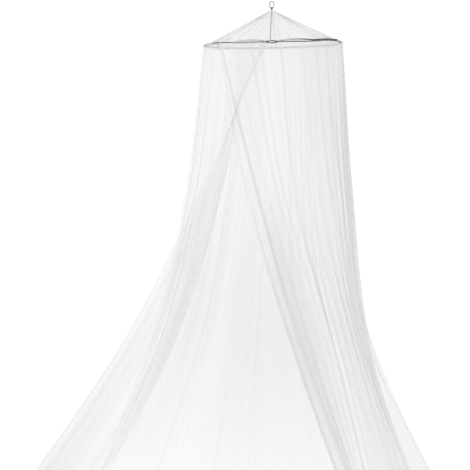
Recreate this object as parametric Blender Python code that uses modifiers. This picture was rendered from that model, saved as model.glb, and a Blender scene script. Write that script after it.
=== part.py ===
"""A mosquito net canopy on its hoop, in metres, with +Z up.

A steel ring hangs on a hook and carries a crimp sleeve. Eight tapes run from the sleeve to a wire
hoop. Eight gores of net lie between them as a shallow cone, and a net curtain hangs from the hoop to
the floor. The curtain is sewn from five widths. Its free edges lap at the front: the left one is drawn far out to
the left and doubles back on itself, the right one is drawn to the right.

The origin is the inner top of the ring, where the hook bears. The front is -Y and the left is -X.
Angles round the hoop are in degrees from the front towards the left.
"""

import math

import bmesh
import bpy

COLLECTION = "mosquito_net_canopy"
WELD = 0.00001

# Heights
FLOOR_Z = -2.500
HOOP_Z = -0.186

# Hanging ring: an upright oval of round wire
RING_WIRE = 0.0030
RING_WIDTH = 0.0220
RING_HEIGHT = 0.0320
RING_ARC_STEPS = 12

# Crimp sleeve
SLEEVE_RADIUS = 0.0045
SLEEVE_TOP = -0.0250
SLEEVE_BOTTOM = -0.0352
SLEEVE_BORE = 0.0039
SLEEVE_BORE_TOP = -0.0304
SLEEVE_CHAMFER = 0.0006
SLEEVE_SIDES = 24
FIT_GAP = 0.00035

# Hoop, with the angle between the points that its wire is drawn through
HOOP_RADIUS = 0.300
HOOP_WIRE = 0.0050
HOOP_X = 0.0065
HOOP_TILT = math.tan(math.radians(1.28))
HOOP_STEP = 4.0
HOOP_STEP_AT_CROSSING = 1.2

# The wire's two ends lap at the front. They cross there, each tail bows up above the wire it lies
# beside, and the right tail then rests on top of that wire. The lap hangs a little below the hoop's plane.
LAP_LEFT_END = 36.0
LAP_RIGHT_END = -68.0
LAP_SAG = 0.0070
LAP_SAG_FULL_WITHIN = 24.0
LAP_SAG_GONE_BEYOND = 52.0
CROSSING_RIGHT = -3.1
CROSSING_LEFT = 7.6
CROSSING_RISE = 0.0045
CROSSING_INSET = 0.00295
BOW_RISE = 0.0105
BOW_ROUNDNESS = 0.7
BOW_RIGHT_END = -33.0
REST_LIFT = 0.0053
REST_LIFT_BY = 0.3
REST_INWARD_UNTIL = 0.9

# Crown net and tapes
NET_THICKNESS = 0.0020
CROWN_TOP_RADIUS = 0.0020
CROWN_TOP_Z = -0.0395
CROWN_RIM_RADIUS = 0.2900
CROWN_RIM_LIFT = 0.0035
CROWN_SAG = 0.0070
GORE_COLUMNS = 6
GORE_SEAM_HALF_GAP = 0.00028
CROWN_ROWS = 9
CROWN_ROW_SPACING = 1.4
TAPES = 8
TAPE_FIRST_ANGLE = 3.7
TAPE_THICKNESS = 0.0012
TAPE_WIDTH = 0.0050
TAPE_END_WIDTH = 0.0015
TAPE_END_RADIUS = 0.00288
TAPE_BELOW_SLEEVE = 0.0007
TAPE_WIDE_FROM = 0.0200
TAPE_LIFT = 0.0022
TAPE_GAP = 0.0005
TAPE_SHARES = (0.012, 0.035, 0.09, 0.2, 0.35, 0.5, 0.65, 0.8, 0.93)
TAPE_PAST_RIM = 0.0025
TAPE_LOOP_STEPS = 9
TAPE_LOOP_START = 100.0
TAPE_LOOP_SWEEP = 270.0

# Loops that hold two wires: the tape's number, how far the loop's centre stands in and up from the
# hoop's line, and its half width and half height
WIDE_LOOP_COLUMNS = ("number", "inward", "up", "half_width", "half_height")
WIDE_LOOPS = [
    (0, 0.00295, 0.0, 0.0070, 0.0090),
    (7, 0.0, 0.00265, 0.0044, 0.0066),
]

# Edge tie, with the length of each tail and how far it strays inwards and sideways
TIE_CORD = 0.0024
TIE_ANGLE = 55.5
TIE_PITCH = 0.0056
TIE_TAILS = (0.030, 0.022)
TIE_TAIL_INWARD = (0.002, 0.001)
TIE_TAIL_SIDEWAYS = (0.002, 0.003)
TIE_TAIL_SHARES = (0.25, 0.6, 1.0)
TIE_LOOP_STEPS = 10

# Curtain
HEM_Z = FLOOR_Z + 0.5 * NET_THICKNESS + 0.0005
HEADING_LIFT = 0.0030
SHOULDER_Z = -0.80
WAIST_Z = -1.50
SEAM_HALF_GAP = 0.16
COLUMN_ANGLE = 2.3
CURTAIN_ROWS = 12
CURTAIN_ROW_SPACING = 1.15

# Pleats: how many go round, how they crowd and spread (times round, sway and start in radians),
# and how their depth changes round the hoop
FOLDS_PER_TURN = 34.0
FOLD_SWAYS = [
    (3.0, 1.1, 0.7),
    (7.0, 0.9, 0.0),
]
FOLD_DEPTH_MEAN = 0.76
FOLD_DEPTH_SWING = 0.24
FOLD_DEPTH_TIMES_ROUND = 5.0
FOLD_DEPTH_START = 1.9
FOLD_GAIN = 1.3
FOLD_HALF_DROP = 0.21

# The curtain's main strands, one row each: where the strand leaves the hoop, and where it passes
# shoulder, waist and hem height. The fold is how deep the pleats grow there.
STRAND_COLUMNS = ("angle", "radius", "shoulder_x", "shoulder_y", "waist_x", "waist_y",
                  "hem_x", "hem_y", "fold")
STRANDS = [
    (6.0, 0.3125, -0.297, -0.400, -0.660, -0.620, -1.370, -0.850, 0.006),    # left free edge
    (14.0, 0.3125, -0.262, -0.385, -0.560, -0.580, -1.230, -0.780, 0.012),   # middle of the flap
    (22.0, 0.3125, -0.213, -0.345, -0.435, -0.500, -1.000, -0.650, 0.004),   # flap's inner fold
    (36.0, 0.3120, -0.256, -0.270, -0.500, -0.360, -0.960, -0.440, 0.012),   # behind the flap
    (58.0, 0.3110, -0.320, -0.160, -0.530, -0.200, -0.930, -0.240, 0.018),   # left front
    (90.0, 0.3065, -0.372, 0.010, -0.520, 0.030, -0.860, 0.050, 0.020),      # left side
    (132.0, 0.3065, -0.290, 0.250, -0.450, 0.350, -0.900, 0.480, 0.022),     # left back
    (180.0, 0.3065, -0.010, 0.390, -0.040, 0.500, -0.080, 0.680, 0.026),     # back
    (228.0, 0.3065, 0.270, 0.270, 0.410, 0.360, 0.910, 0.500, 0.026),        # right back
    (270.0, 0.3065, 0.350, 0.020, 0.425, 0.030, 0.640, 0.040, 0.024),        # right side
    (306.0, 0.3065, 0.295, -0.180, 0.395, -0.250, 0.780, -0.340, 0.026),     # right front
    (336.0, 0.3065, 0.185, -0.310, 0.345, -0.380, 0.640, -0.520, 0.022),     # right of the seam
    (360.0, 0.3065, 0.079, -0.365, 0.267, -0.480, 0.500, -0.640, 0.018),     # front seam
    (386.0, 0.3065, -0.010, -0.370, 0.185, -0.520, 0.490, -0.700, 0.016),    # front overlap
    (409.0, 0.3065, -0.076, -0.345, 0.121, -0.520, 0.497, -0.735, 0.008),    # bunched stripe
    (413.7, 0.3065, -0.128, -0.350, 0.079, -0.530, 0.440, -0.755, 0.004),    # right free edge
]

# The widths of net, sewn side by side, with the angle where each ends
WIDTHS = [
    ("net_left_front", 90.0),
    ("net_left_back", 178.0),
    ("net_right_back", 264.0),
    ("net_right_side", 360.0),
    ("net_front_overlap", 413.7),
]


# ---------------------------------------------------------------- helpers

def clear_scene():
    for item in list(bpy.data.objects):
        bpy.data.objects.remove(item, do_unlink=True)


def make_collection(name):
    collection = bpy.data.collections.new(name)
    bpy.context.scene.collection.children.link(collection)
    return collection


def make_material(name, colour, roughness, metallic=0.0):
    material = bpy.data.materials.new(name)
    material.use_nodes = True
    shader = material.node_tree.nodes["Principled BSDF"]
    shader.inputs["Base Color"].default_value = (*colour, 1.0)
    shader.inputs["Roughness"].default_value = roughness
    shader.inputs["Metallic"].default_value = metallic
    return material


def add_object(name, data, collection, material):
    item = bpy.data.objects.new(name, data)
    data.materials.append(material)
    collection.objects.link(item)
    return item


def add_wire(name, points, diameter, collection, material, closed=False):
    """A round wire or cord along the given points."""
    curve = bpy.data.curves.new(name, "CURVE")
    curve.dimensions = "3D"
    curve.bevel_depth = 0.5 * diameter
    curve.bevel_resolution = 2
    curve.use_fill_caps = True
    spline = curve.splines.new("POLY")
    spline.points.add(len(points) - 1)
    for spot, point in zip(spline.points, points):
        spot.co = (*point, 1.0)
    spline.use_cyclic_u = closed
    return add_object(name, curve, collection, material)


def thicken(item, thickness):
    wall = item.modifiers.new("Thickness", "SOLIDIFY")
    wall.thickness = thickness
    wall.offset = 0.0
    return item


def ramp(value, start, end):
    """A soft step from 0 at start to 1 at end."""
    share = min(1.0, max(0.0, (value - start) / (end - start)))
    return share * share * (3.0 - 2.0 * share)


def through(knots, values, at):
    """A smooth curve through the values at the knots, read at one place."""
    last = len(knots) - 2
    span = next((i for i in range(last) if at < knots[i + 1]), last)

    def slope(i):
        before = max(i - 1, 0)
        after = min(i + 1, len(knots) - 1)
        return (values[after] - values[before]) / (knots[after] - knots[before])

    width = knots[span + 1] - knots[span]
    t = (at - knots[span]) / width
    rise = (values[span + 1] - values[span]) * t * t * (3.0 - 2.0 * t)
    leave = slope(span) * width * t * (1.0 - t) ** 2
    arrive = slope(span + 1) * width * t * t * (t - 1.0)
    return values[span] + rise + leave + arrive


def hoop_point(angle, radius=HOOP_RADIUS, lift=0.0):
    """A point near the hoop, whose plane dips to the left."""
    turn = math.radians(angle)
    x = HOOP_X - radius * math.sin(turn)
    y = -radius * math.cos(turn)
    return x, y, HOOP_Z + HOOP_TILT * x + lift


# ---------------------------------------------------------------- ring and sleeve

def ring_path():
    """The wire's centre line: two half circles joined by straight sides."""
    radius = 0.5 * (RING_WIDTH - RING_WIRE)
    top = 0.5 * RING_WIRE
    bottom = top - (RING_HEIGHT - RING_WIRE)
    points = []
    for centre, start in ((top - radius, 0.0), (bottom + radius, math.pi)):
        for step in range(RING_ARC_STEPS + 1):
            turn = start + math.pi * step / RING_ARC_STEPS
            points.append((radius * math.cos(turn), 0.0, centre + radius * math.sin(turn)))
    return points


def build_ring(parts, steel):
    return add_wire("hanging_ring", ring_path(), RING_WIRE, parts, steel, closed=True)


def build_sleeve(parts, cutters, steel):
    """A turned sleeve, open below for the tapes and cut across for the ring's wire."""
    radius = SLEEVE_RADIUS
    inset = SLEEVE_CHAMFER
    profile = [
        (0.0, SLEEVE_TOP),
        (radius - inset, SLEEVE_TOP),
        (radius, SLEEVE_TOP - inset),
        (radius, SLEEVE_BOTTOM),
        (SLEEVE_BORE, SLEEVE_BOTTOM),
        (SLEEVE_BORE, SLEEVE_BORE_TOP),
        (0.0, SLEEVE_BORE_TOP),
    ]
    mesh = bpy.data.meshes.new("crimp_sleeve")
    edges = [(i, i + 1) for i in range(len(profile) - 1)]
    mesh.from_pydata([(x, 0.0, z) for x, z in profile], edges, [])
    sleeve = add_object("crimp_sleeve", mesh, parts, steel)
    turned = sleeve.modifiers.new("Turned", "SCREW")
    turned.steps = turned.render_steps = SLEEVE_SIDES
    turned.use_merge_vertices = True
    turned.merge_threshold = WELD
    turned.use_smooth_shade = True

    channel_curve = add_wire("ring_channel_curve", ring_path(), RING_WIRE + 2.0 * FIT_GAP,
                             cutters, steel, closed=True)
    bpy.context.view_layer.update()
    evaluated = channel_curve.evaluated_get(bpy.context.evaluated_depsgraph_get())
    channel_mesh = bpy.data.meshes.new_from_object(evaluated)
    bpy.data.objects.remove(channel_curve, do_unlink=True)
    channel = bpy.data.objects.new("ring_channel", channel_mesh)
    cutters.objects.link(channel)
    channel.hide_render = True
    channel.display_type = "WIRE"
    cut = sleeve.modifiers.new("Ring channel", "BOOLEAN")
    cut.object = channel
    return sleeve


# ---------------------------------------------------------------- hoop

def lap_sag(front):
    """How far the wire hangs below the hoop's plane, at an angle from the front."""
    return LAP_SAG * (1.0 - ramp(abs(front), LAP_SAG_FULL_WITHIN, LAP_SAG_GONE_BEYOND))


def tail_offset(front):
    """How far a lapped tail stands in from the wire it lies beside, and how far above it."""
    if front > 0.0:
        way = min(1.0, (front - CROSSING_LEFT) / (LAP_LEFT_END - CROSSING_LEFT))
        return 2.0 * CROSSING_INSET, BOW_RISE * math.sin(math.pi * way) ** BOW_ROUNDNESS
    way = min(1.0, (CROSSING_RIGHT - front) / (CROSSING_RIGHT - BOW_RIGHT_END))
    bow = (BOW_RISE - REST_LIFT) * math.sin(math.pi * way) ** BOW_ROUNDNESS
    inward = 1.0 - ramp(way, REST_LIFT_BY, REST_INWARD_UNTIL)
    return 2.0 * CROSSING_INSET * inward, REST_LIFT * ramp(way, 0.0, REST_LIFT_BY) + bow


def hoop_wire_point(angle):
    """The wire's centre line, from the right tail's end once round to the left tail's end."""
    first_end = angle < 180.0
    front = angle if first_end else angle - 360.0
    side = 1.0 if first_end else -1.0
    on_tail = front < CROSSING_RIGHT if first_end else front > CROSSING_LEFT
    if on_tail:
        inset, lift = tail_offset(front)
    else:
        share = (CROSSING_LEFT - front) / (CROSSING_LEFT - CROSSING_RIGHT)
        turn = math.pi * min(1.0, max(0.0, share))
        inset = CROSSING_INSET * (1.0 - side * math.cos(turn))
        lift = side * CROSSING_RISE * math.sin(turn)
    return hoop_point(angle, HOOP_RADIUS - inset, lift - lap_sag(front))


def build_hoop(parts, steel):
    angles = []
    angle = LAP_RIGHT_END
    while angle < 360.0 + LAP_LEFT_END - 0.1:
        angles.append(angle)
        front = angle if angle < 180.0 else angle - 360.0
        crossing = CROSSING_RIGHT - HOOP_STEP_AT_CROSSING < front < CROSSING_LEFT + HOOP_STEP_AT_CROSSING
        angle += HOOP_STEP_AT_CROSSING if crossing else HOOP_STEP
    angles.append(360.0 + LAP_LEFT_END)
    return add_wire("hoop", [hoop_wire_point(a) for a in angles], HOOP_WIRE, parts, steel)


# ---------------------------------------------------------------- crown and tapes

def rim_towards(turn):
    """Distance from the ring's axis to the crown's rim, and the rim's height, in one direction."""
    across = HOOP_X * math.cos(turn)
    along = HOOP_X * math.sin(turn)
    reach = -along + math.sqrt(CROWN_RIM_RADIUS ** 2 - across ** 2)
    x = -reach * math.sin(turn)
    return reach, HOOP_Z + HOOP_TILT * x + CROWN_RIM_LIFT


def tape_turn(number):
    """The direction of a tape from the ring's axis, which is a little to one side of the hoop's."""
    x, y, _ = hoop_point(TAPE_FIRST_ANGLE + 360.0 * number / TAPES)
    return math.atan2(-x, -y) % (2.0 * math.pi)


def crown_height(turn, radius, across=0.0):
    """The crown's height: a straight slope at each tape and a slight sag across the gore between."""
    reach, rim_z = rim_towards(turn)
    share = (radius - CROWN_TOP_RADIUS) / (reach - CROWN_TOP_RADIUS)
    belly = 4.0 * share * (1.0 - share) * math.sqrt(share)
    sag = CROWN_SAG * belly * math.sin(math.pi * across) ** 2
    return CROWN_TOP_Z + (rim_z - CROWN_TOP_Z) * share - sag


def build_gore(number, parts, net):
    """A grid laid between two tapes: columns run from tape to tape, rows run from apex to rim."""
    start = tape_turn(number)
    sweep = (tape_turn(number + 1) - start) % (2.0 * math.pi)
    name = f"crown_gore_{number + 1}"
    mesh = bpy.data.meshes.new(name)
    shape = bmesh.new()
    bmesh.ops.create_grid(shape, x_segments=GORE_COLUMNS, y_segments=CROWN_ROWS, size=0.5)
    for vert in shape.verts:
        across = vert.co.x + 0.5
        share = (0.5 - vert.co.y) ** CROWN_ROW_SPACING
        reach, _ = rim_towards(start + sweep * across)
        radius = CROWN_TOP_RADIUS + (reach - CROWN_TOP_RADIUS) * share
        inset = math.asin(GORE_SEAM_HALF_GAP / radius)
        turn = start + inset + (sweep - 2.0 * inset) * across
        height = crown_height(turn, radius, across)
        vert.co = (-radius * math.sin(turn), -radius * math.cos(turn), height)
    for face in shape.faces:
        face.smooth = True
    shape.to_mesh(mesh)
    shape.free()
    return thicken(add_object(name, mesh, parts, net), NET_THICKNESS)


def tape_profile(number):
    """The tape's line in its own upright plane, as (distance out, height) pairs."""
    angle = TAPE_FIRST_ANGLE + 360.0 * number / TAPES
    turn = tape_turn(number)
    profile = [(TAPE_END_RADIUS, SLEEVE_BORE_TOP - TAPE_GAP),
               (TAPE_END_RADIUS, SLEEVE_BOTTOM - TAPE_BELOW_SLEEVE)]
    reach, _ = rim_towards(turn)
    for share in TAPE_SHARES:
        out = TAPE_END_RADIUS + share * (reach - TAPE_END_RADIUS)
        profile.append((out, crown_height(turn, out) + TAPE_LIFT))
    profile.append((reach + TAPE_PAST_RIM, crown_height(turn, reach) + TAPE_LIFT))
    x, y, wire_z = hoop_point(angle)
    wire_out = math.hypot(x, y)
    wire_z -= lap_sag(angle if angle < 180.0 else angle - 360.0)
    half_width = half_height = 0.5 * HOOP_WIRE + TAPE_GAP + 0.5 * TAPE_THICKNESS
    for row in WIDE_LOOPS:
        wide = dict(zip(WIDE_LOOP_COLUMNS, row))
        if wide["number"] == number:
            wire_out -= wide["inward"]
            wire_z += wide["up"]
            half_width, half_height = wide["half_width"], wide["half_height"]
    for step in range(TAPE_LOOP_STEPS + 1):
        around = math.radians(TAPE_LOOP_START - TAPE_LOOP_SWEEP * step / TAPE_LOOP_STEPS)
        profile.append((wire_out + half_width * math.cos(around),
                        wire_z + half_height * math.sin(around)))
    return profile


def build_tape(number, parts, webbing):
    """A strip that leaves the sleeve, lies along the crown and loops round the hoop's wire."""
    turn = tape_turn(number)
    profile = tape_profile(number)
    name = f"tape_{number + 1}"
    mesh = bpy.data.meshes.new(name)
    shape = bmesh.new()
    rows = []
    for out, height in profile:
        widening = ramp(out, TAPE_END_RADIUS, TAPE_WIDE_FROM)
        half = 0.5 * (TAPE_END_WIDTH + (TAPE_WIDTH - TAPE_END_WIDTH) * widening)
        centre_x = -out * math.sin(turn)
        centre_y = -out * math.cos(turn)
        side_x = half * math.cos(turn)
        side_y = -half * math.sin(turn)
        rows.append((shape.verts.new((centre_x - side_x, centre_y - side_y, height)),
                     shape.verts.new((centre_x + side_x, centre_y + side_y, height))))
    for (a, b), (c, d) in zip(rows, rows[1:]):
        shape.faces.new((a, b, d, c))
    shape.to_mesh(mesh)
    shape.free()
    return thicken(add_object(name, mesh, parts, webbing), TAPE_THICKNESS)


# ---------------------------------------------------------------- edge tie

def build_tie(parts, cord):
    """A cord looped once round the hoop's wire, with both tails hanging inside it."""
    loop_radius = 0.5 * (HOOP_WIRE + TIE_CORD) + TAPE_GAP
    degrees_per_metre = math.degrees(1.0 / HOOP_RADIUS)
    half = 0.5 * TIE_PITCH
    points = []

    def place(inward, lift, along):
        points.append(hoop_point(TIE_ANGLE + along * degrees_per_metre, HOOP_RADIUS - inward, lift))

    def place_tail(end, side, share):
        place(loop_radius + TIE_TAIL_INWARD[end] * share, -TIE_TAILS[end] * share,
              side * (half + TIE_TAIL_SIDEWAYS[end] * share))

    for share in reversed(TIE_TAIL_SHARES):
        place_tail(0, -1.0, share)
    for step in range(TIE_LOOP_STEPS + 1):
        around = 2.0 * math.pi * step / TIE_LOOP_STEPS
        along = -half + TIE_PITCH * step / TIE_LOOP_STEPS
        place(loop_radius * math.cos(around), loop_radius * math.sin(around), along)
    for share in TIE_TAIL_SHARES:
        place_tail(1, 1.0, share)
    return add_wire("edge_tie", points, TIE_CORD, parts, cord)


# ---------------------------------------------------------------- curtain

def strand_value(column, angle):
    place = STRAND_COLUMNS.index(column)
    return through([row[0] for row in STRANDS], [row[place] for row in STRANDS], angle)


def strand_spot(angle, z):
    """Where the unpleated curtain is at one angle of the hoop and one height, seen from above."""
    radius = strand_value("radius", angle)
    x, y, top = hoop_point(angle, radius, HEADING_LIFT)
    heights = (-top, -SHOULDER_Z, -WAIST_Z, -FLOOR_Z)
    xs = (x, *(strand_value(f"{level}_x", angle) for level in ("shoulder", "waist", "hem")))
    ys = (y, *(strand_value(f"{level}_y", angle) for level in ("shoulder", "waist", "hem")))
    return through(heights, xs, -z), through(heights, ys, -z)


def fold_wave(angle):
    """The pleats, from -1 to 1: unevenly spaced and unevenly deep, in a fixed pattern."""
    turn = math.radians(angle)
    phase = FOLDS_PER_TURN * turn
    for times_round, sway, start in FOLD_SWAYS:
        phase += sway * math.sin(times_round * turn + start)
    depth = FOLD_DEPTH_MEAN + FOLD_DEPTH_SWING * math.sin(FOLD_DEPTH_TIMES_ROUND * turn + FOLD_DEPTH_START)
    return depth * math.sin(phase)


def curtain_point(angle, drop):
    """A point of the curtain's middle surface. The drop runs from 0 at the hoop to 1 at the hem."""
    top = hoop_point(angle, strand_value("radius", angle), HEADING_LIFT)[2]
    z = top + (HEM_Z - top) * min(1.0, drop)
    x, y = strand_spot(angle, z)
    before = strand_spot(angle - 0.5, z)
    after = strand_spot(angle + 0.5, z)
    along_x = after[0] - before[0]
    along_y = after[1] - before[1]
    length = math.hypot(along_x, along_y)
    depth = FOLD_GAIN * strand_value("fold", angle) * drop / (drop + FOLD_HALF_DROP)
    push = depth * fold_wave(angle)
    return x + push * along_y / length, y - push * along_x / length, z


def build_width(name, start, end, parts, net):
    """One width of net: a grid whose columns hang from the hoop and whose rows run round it."""
    columns = round((end - start) / COLUMN_ANGLE)
    mesh = bpy.data.meshes.new(name)
    shape = bmesh.new()
    bmesh.ops.create_grid(shape, x_segments=columns, y_segments=CURTAIN_ROWS, size=0.5)
    for vert in shape.verts:
        angle = start + (end - start) * (vert.co.x + 0.5)
        drop = (0.5 - vert.co.y) ** CURTAIN_ROW_SPACING
        vert.co = curtain_point(angle, drop)
    for face in shape.faces:
        face.smooth = True
    shape.to_mesh(mesh)
    shape.free()
    return thicken(add_object(name, mesh, parts, net), NET_THICKNESS)


def build_curtain(parts, net):
    start = STRANDS[0][0]
    for name, end in WIDTHS:
        build_width(name, start + SEAM_HALF_GAP, end - SEAM_HALF_GAP, parts, net)
        start = end


# ---------------------------------------------------------------- the whole canopy

def main():
    clear_scene()
    parts = make_collection(COLLECTION)
    cutters = make_collection(f"{COLLECTION}_cutters")

    ring_steel = make_material("ring_steel", (0.22, 0.21, 0.20), 0.35, 0.9)
    sleeve_steel = make_material("sleeve_steel", (0.16, 0.15, 0.14), 0.45, 0.9)
    hoop_steel = make_material("hoop_steel", (0.20, 0.17, 0.15), 0.45, 0.8)
    tape_white = make_material("tape_white", (0.80, 0.80, 0.78), 0.80)
    tie_white = make_material("tie_white", (0.62, 0.61, 0.58), 0.85)
    crown_white = make_material("crown_white", (0.86, 0.86, 0.86), 0.90)
    curtain_white = make_material("curtain_white", (0.85, 0.85, 0.86), 0.90)

    build_ring(parts, ring_steel)
    build_sleeve(parts, cutters, sleeve_steel)
    build_hoop(parts, hoop_steel)
    for number in range(TAPES):
        build_gore(number, parts, crown_white)
        build_tape(number, parts, tape_white)
    build_tie(parts, tie_white)
    build_curtain(parts, curtain_white)


main()
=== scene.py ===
# %% [markdown]
# # A mosquito net canopy on its hoop
#
# This lesson dresses a finished construction model. The model has the sizes, the places and the solids
# that a physics engine needs. Here every piece gets its real surface: fine net with gathers and hems,
# woven tapes, coated wire and dull steel. Lengths are metres and +Z is up. The front is -Y, the left
# is -X, and the origin is the inner top of the hanging ring, from which all of it hangs.

# %% The construction model as a fixed frame
import math

import bpy
import numpy as np
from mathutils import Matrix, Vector


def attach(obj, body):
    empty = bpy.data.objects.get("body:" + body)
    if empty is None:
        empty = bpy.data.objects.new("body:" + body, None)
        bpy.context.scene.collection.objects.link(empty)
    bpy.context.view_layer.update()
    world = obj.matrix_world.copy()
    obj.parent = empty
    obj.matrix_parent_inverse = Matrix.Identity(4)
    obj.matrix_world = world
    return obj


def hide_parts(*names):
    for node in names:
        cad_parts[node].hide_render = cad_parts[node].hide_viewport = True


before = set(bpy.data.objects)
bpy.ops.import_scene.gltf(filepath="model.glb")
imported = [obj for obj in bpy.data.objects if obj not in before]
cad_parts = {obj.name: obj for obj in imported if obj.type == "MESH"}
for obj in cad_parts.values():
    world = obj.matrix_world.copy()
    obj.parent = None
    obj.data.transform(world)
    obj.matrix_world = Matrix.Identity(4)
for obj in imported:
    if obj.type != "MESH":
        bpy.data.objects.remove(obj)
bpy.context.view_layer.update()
BODY = "root"

# %% [markdown]
# ## Camera
#
# The view comes first, because it decides how fine each piece has to be. The canopy hangs 8 m away and
# a little above the lens, so the hoop shows as a very flat ellipse with its near side on top. A long
# lens keeps the perspective as gentle as it is in a catalogue photograph. The lens could be given in
# millimetres, but here it is worked out from pixels, so that sizes in the picture can be reckoned.

# %% Camera
CAMERA_PLACE = (-0.1635, -8.0, -0.600)
FOCAL_PIXELS = 1789.0
IMAGE_SIDE = 470
HORIZON_PIXEL = 136.8
SENSOR_WIDTH = 36.0

lens = bpy.data.cameras.new("camera")
lens.sensor_width = SENSOR_WIDTH
lens.lens = FOCAL_PIXELS / IMAGE_SIDE * SENSOR_WIDTH
camera = bpy.data.objects.new("camera", lens)
dip = math.atan((0.5 * IMAGE_SIDE - HORIZON_PIXEL) / FOCAL_PIXELS)
camera.location = CAMERA_PLACE
camera.rotation_euler = (0.5 * math.pi - dip, 0.0, 0.0)
bpy.context.scene.collection.objects.link(camera)
bpy.context.scene.camera = camera
print("lens", round(lens.lens, 1), "mm, dipped", round(math.degrees(dip), 2), "degrees")

# %% [markdown]
# ## Light
#
# White net on a white ground shows only because its threads are a little darker than what is behind
# them. So the world is an even white that just reaches the top of the scale, and one large soft lamp
# from the left gives the folds a light side and a dark side. Light passes many layers of net in turn,
# so Cycles is allowed more transparent bounces than it has by default.

# %% Light
WORLD_STRENGTH = 1.02
KEY_ENERGY = 45.0
KEY_SIZE = 3.0
KEY_PLACE = (-3.6, -3.2, 1.6)
KEY_AIM = (0.0, 0.0, -1.2)
TRANSPARENT_BOUNCES = 40

scene = bpy.context.scene
scene.view_settings.view_transform = "Standard"
scene.cycles.transparent_max_bounces = TRANSPARENT_BOUNCES

world = bpy.data.worlds.new("white_room")
world.use_nodes = True
world.node_tree.nodes["Background"].inputs["Color"].default_value = (1.0, 1.0, 1.0, 1.0)
world.node_tree.nodes["Background"].inputs["Strength"].default_value = WORLD_STRENGTH
scene.world = world

key = bpy.data.lights.new("key", "AREA")
key.energy = KEY_ENERGY
key.size = KEY_SIZE
key_lamp = bpy.data.objects.new("key", key)
key_lamp.location = KEY_PLACE
key_lamp.rotation_euler = (Vector(KEY_AIM) - Vector(KEY_PLACE)).to_track_quat("-Z", "Y").to_euler()
scene.collection.objects.link(key_lamp)
print("one lamp of", KEY_ENERGY, "W,", KEY_SIZE, "m across, in a white world")

# %% [markdown]
# ## Floor
#
# The curtain's foot just reaches the floor. A plane would do, but a disc has no corners to show from
# the side. It is a circle primitive filled with one face. An operator acts on all that is selected, so
# a small helper deselects everything before each new piece.

# %% Floor
FLOOR_Z = -2.500
FLOOR_RADIUS = 2.1
FLOOR_SIDES = 96


def deselect():
    """Nothing stays selected between pieces."""
    if bpy.context.object and bpy.context.object.mode != "OBJECT":
        bpy.ops.object.mode_set(mode="OBJECT")
    bpy.ops.object.select_all(action="DESELECT")


deselect()
bpy.ops.mesh.primitive_circle_add(vertices=FLOOR_SIDES, radius=FLOOR_RADIUS, fill_type="NGON",
                                  location=(0, 0, FLOOR_Z))
floor = bpy.context.object
floor.name = "floor"
bpy.ops.object.transform_apply(location=True, rotation=True, scale=True)
print("floor disc", FLOOR_RADIUS * 2, "m across at z", FLOOR_Z)

# %% [markdown]
# ## A small kit for materials
#
# Every finish is a Principled shader with nodes in front of it. They could be placed and joined one
# line at a time, but that hides the recipe. These helpers make a node, set it and join it in one call,
# so each material below reads as a short list of steps.

# %% Material helpers


def new_material(name, colour, roughness, metallic=0.0):
    material = bpy.data.materials.new(name)
    material.use_nodes = True
    shader = material.node_tree.nodes["Principled BSDF"]
    shader.inputs["Base Color"].default_value = (*colour, 1.0)
    shader.inputs["Roughness"].default_value = roughness
    shader.inputs["Metallic"].default_value = metallic
    print("finish:", name)
    return material, material.node_tree, shader


def node(tree, kind, settings=None, **inputs):
    """A node with its settings, and with inputs that are numbers or the outputs of other nodes."""
    made = tree.nodes.new(kind)
    for setting, value in (settings or {}).items():
        setattr(made, setting, value)
    for name, value in inputs.items():
        socket = made.inputs[int(name[1:])] if name[1:].isdigit() else made.inputs[name.replace("_", " ")]
        if isinstance(value, bpy.types.NodeSocket):
            tree.links.new(value, socket)
        else:
            socket.default_value = value
    return made


def maths(tree, operation, first, second=0.0, third=0.0):
    return node(tree, "ShaderNodeMath", {"operation": operation}, i0=first, i1=second, i2=third).outputs[0]


def tint(tree, factor, dark, light):
    """A colour between two, chosen by a factor from 0 to 1."""
    ends = node(tree, "ShaderNodeValToRGB", Fac=factor)
    ends.color_ramp.elements[0].color = (*dark, 1.0)
    ends.color_ramp.elements[1].color = (*light, 1.0)
    return ends.outputs["Color"]


def noise(tree, place, scale, detail=2.0):
    return node(tree, "ShaderNodeTexNoise", Vector=place, Scale=scale, Detail=detail).outputs["Fac"]


def bumped(tree, shader, height, strength, distance):
    bump = node(tree, "ShaderNodeBump", Height=height, Strength=strength, Distance=distance)
    tree.links.new(bump.outputs["Normal"], shader.inputs["Normal"])


print("helpers for finishes, nodes, sums, tints, noise and bumps are ready")

# %% [markdown]
# ## The floor's paint
#
# The first finish is the plainest, a matt pale paint with faint broad patches. Its noise reads Object
# coordinates, which are metres here because every finished piece keeps its object at the origin.

# %% Floor paint
PATCHES_PER_METRE = 3.0

floor_paint, tree, shader = new_material("floor_paint", (0.93, 0.93, 0.93), roughness=0.9)
place = node(tree, "ShaderNodeTexCoord").outputs["Object"]
patches = tint(tree, noise(tree, place, PATCHES_PER_METRE), (0.92, 0.92, 0.92), (0.95, 0.95, 0.95))
tree.links.new(patches, shader.inputs["Base Color"])
floor.data.materials.append(floor_paint)
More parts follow.
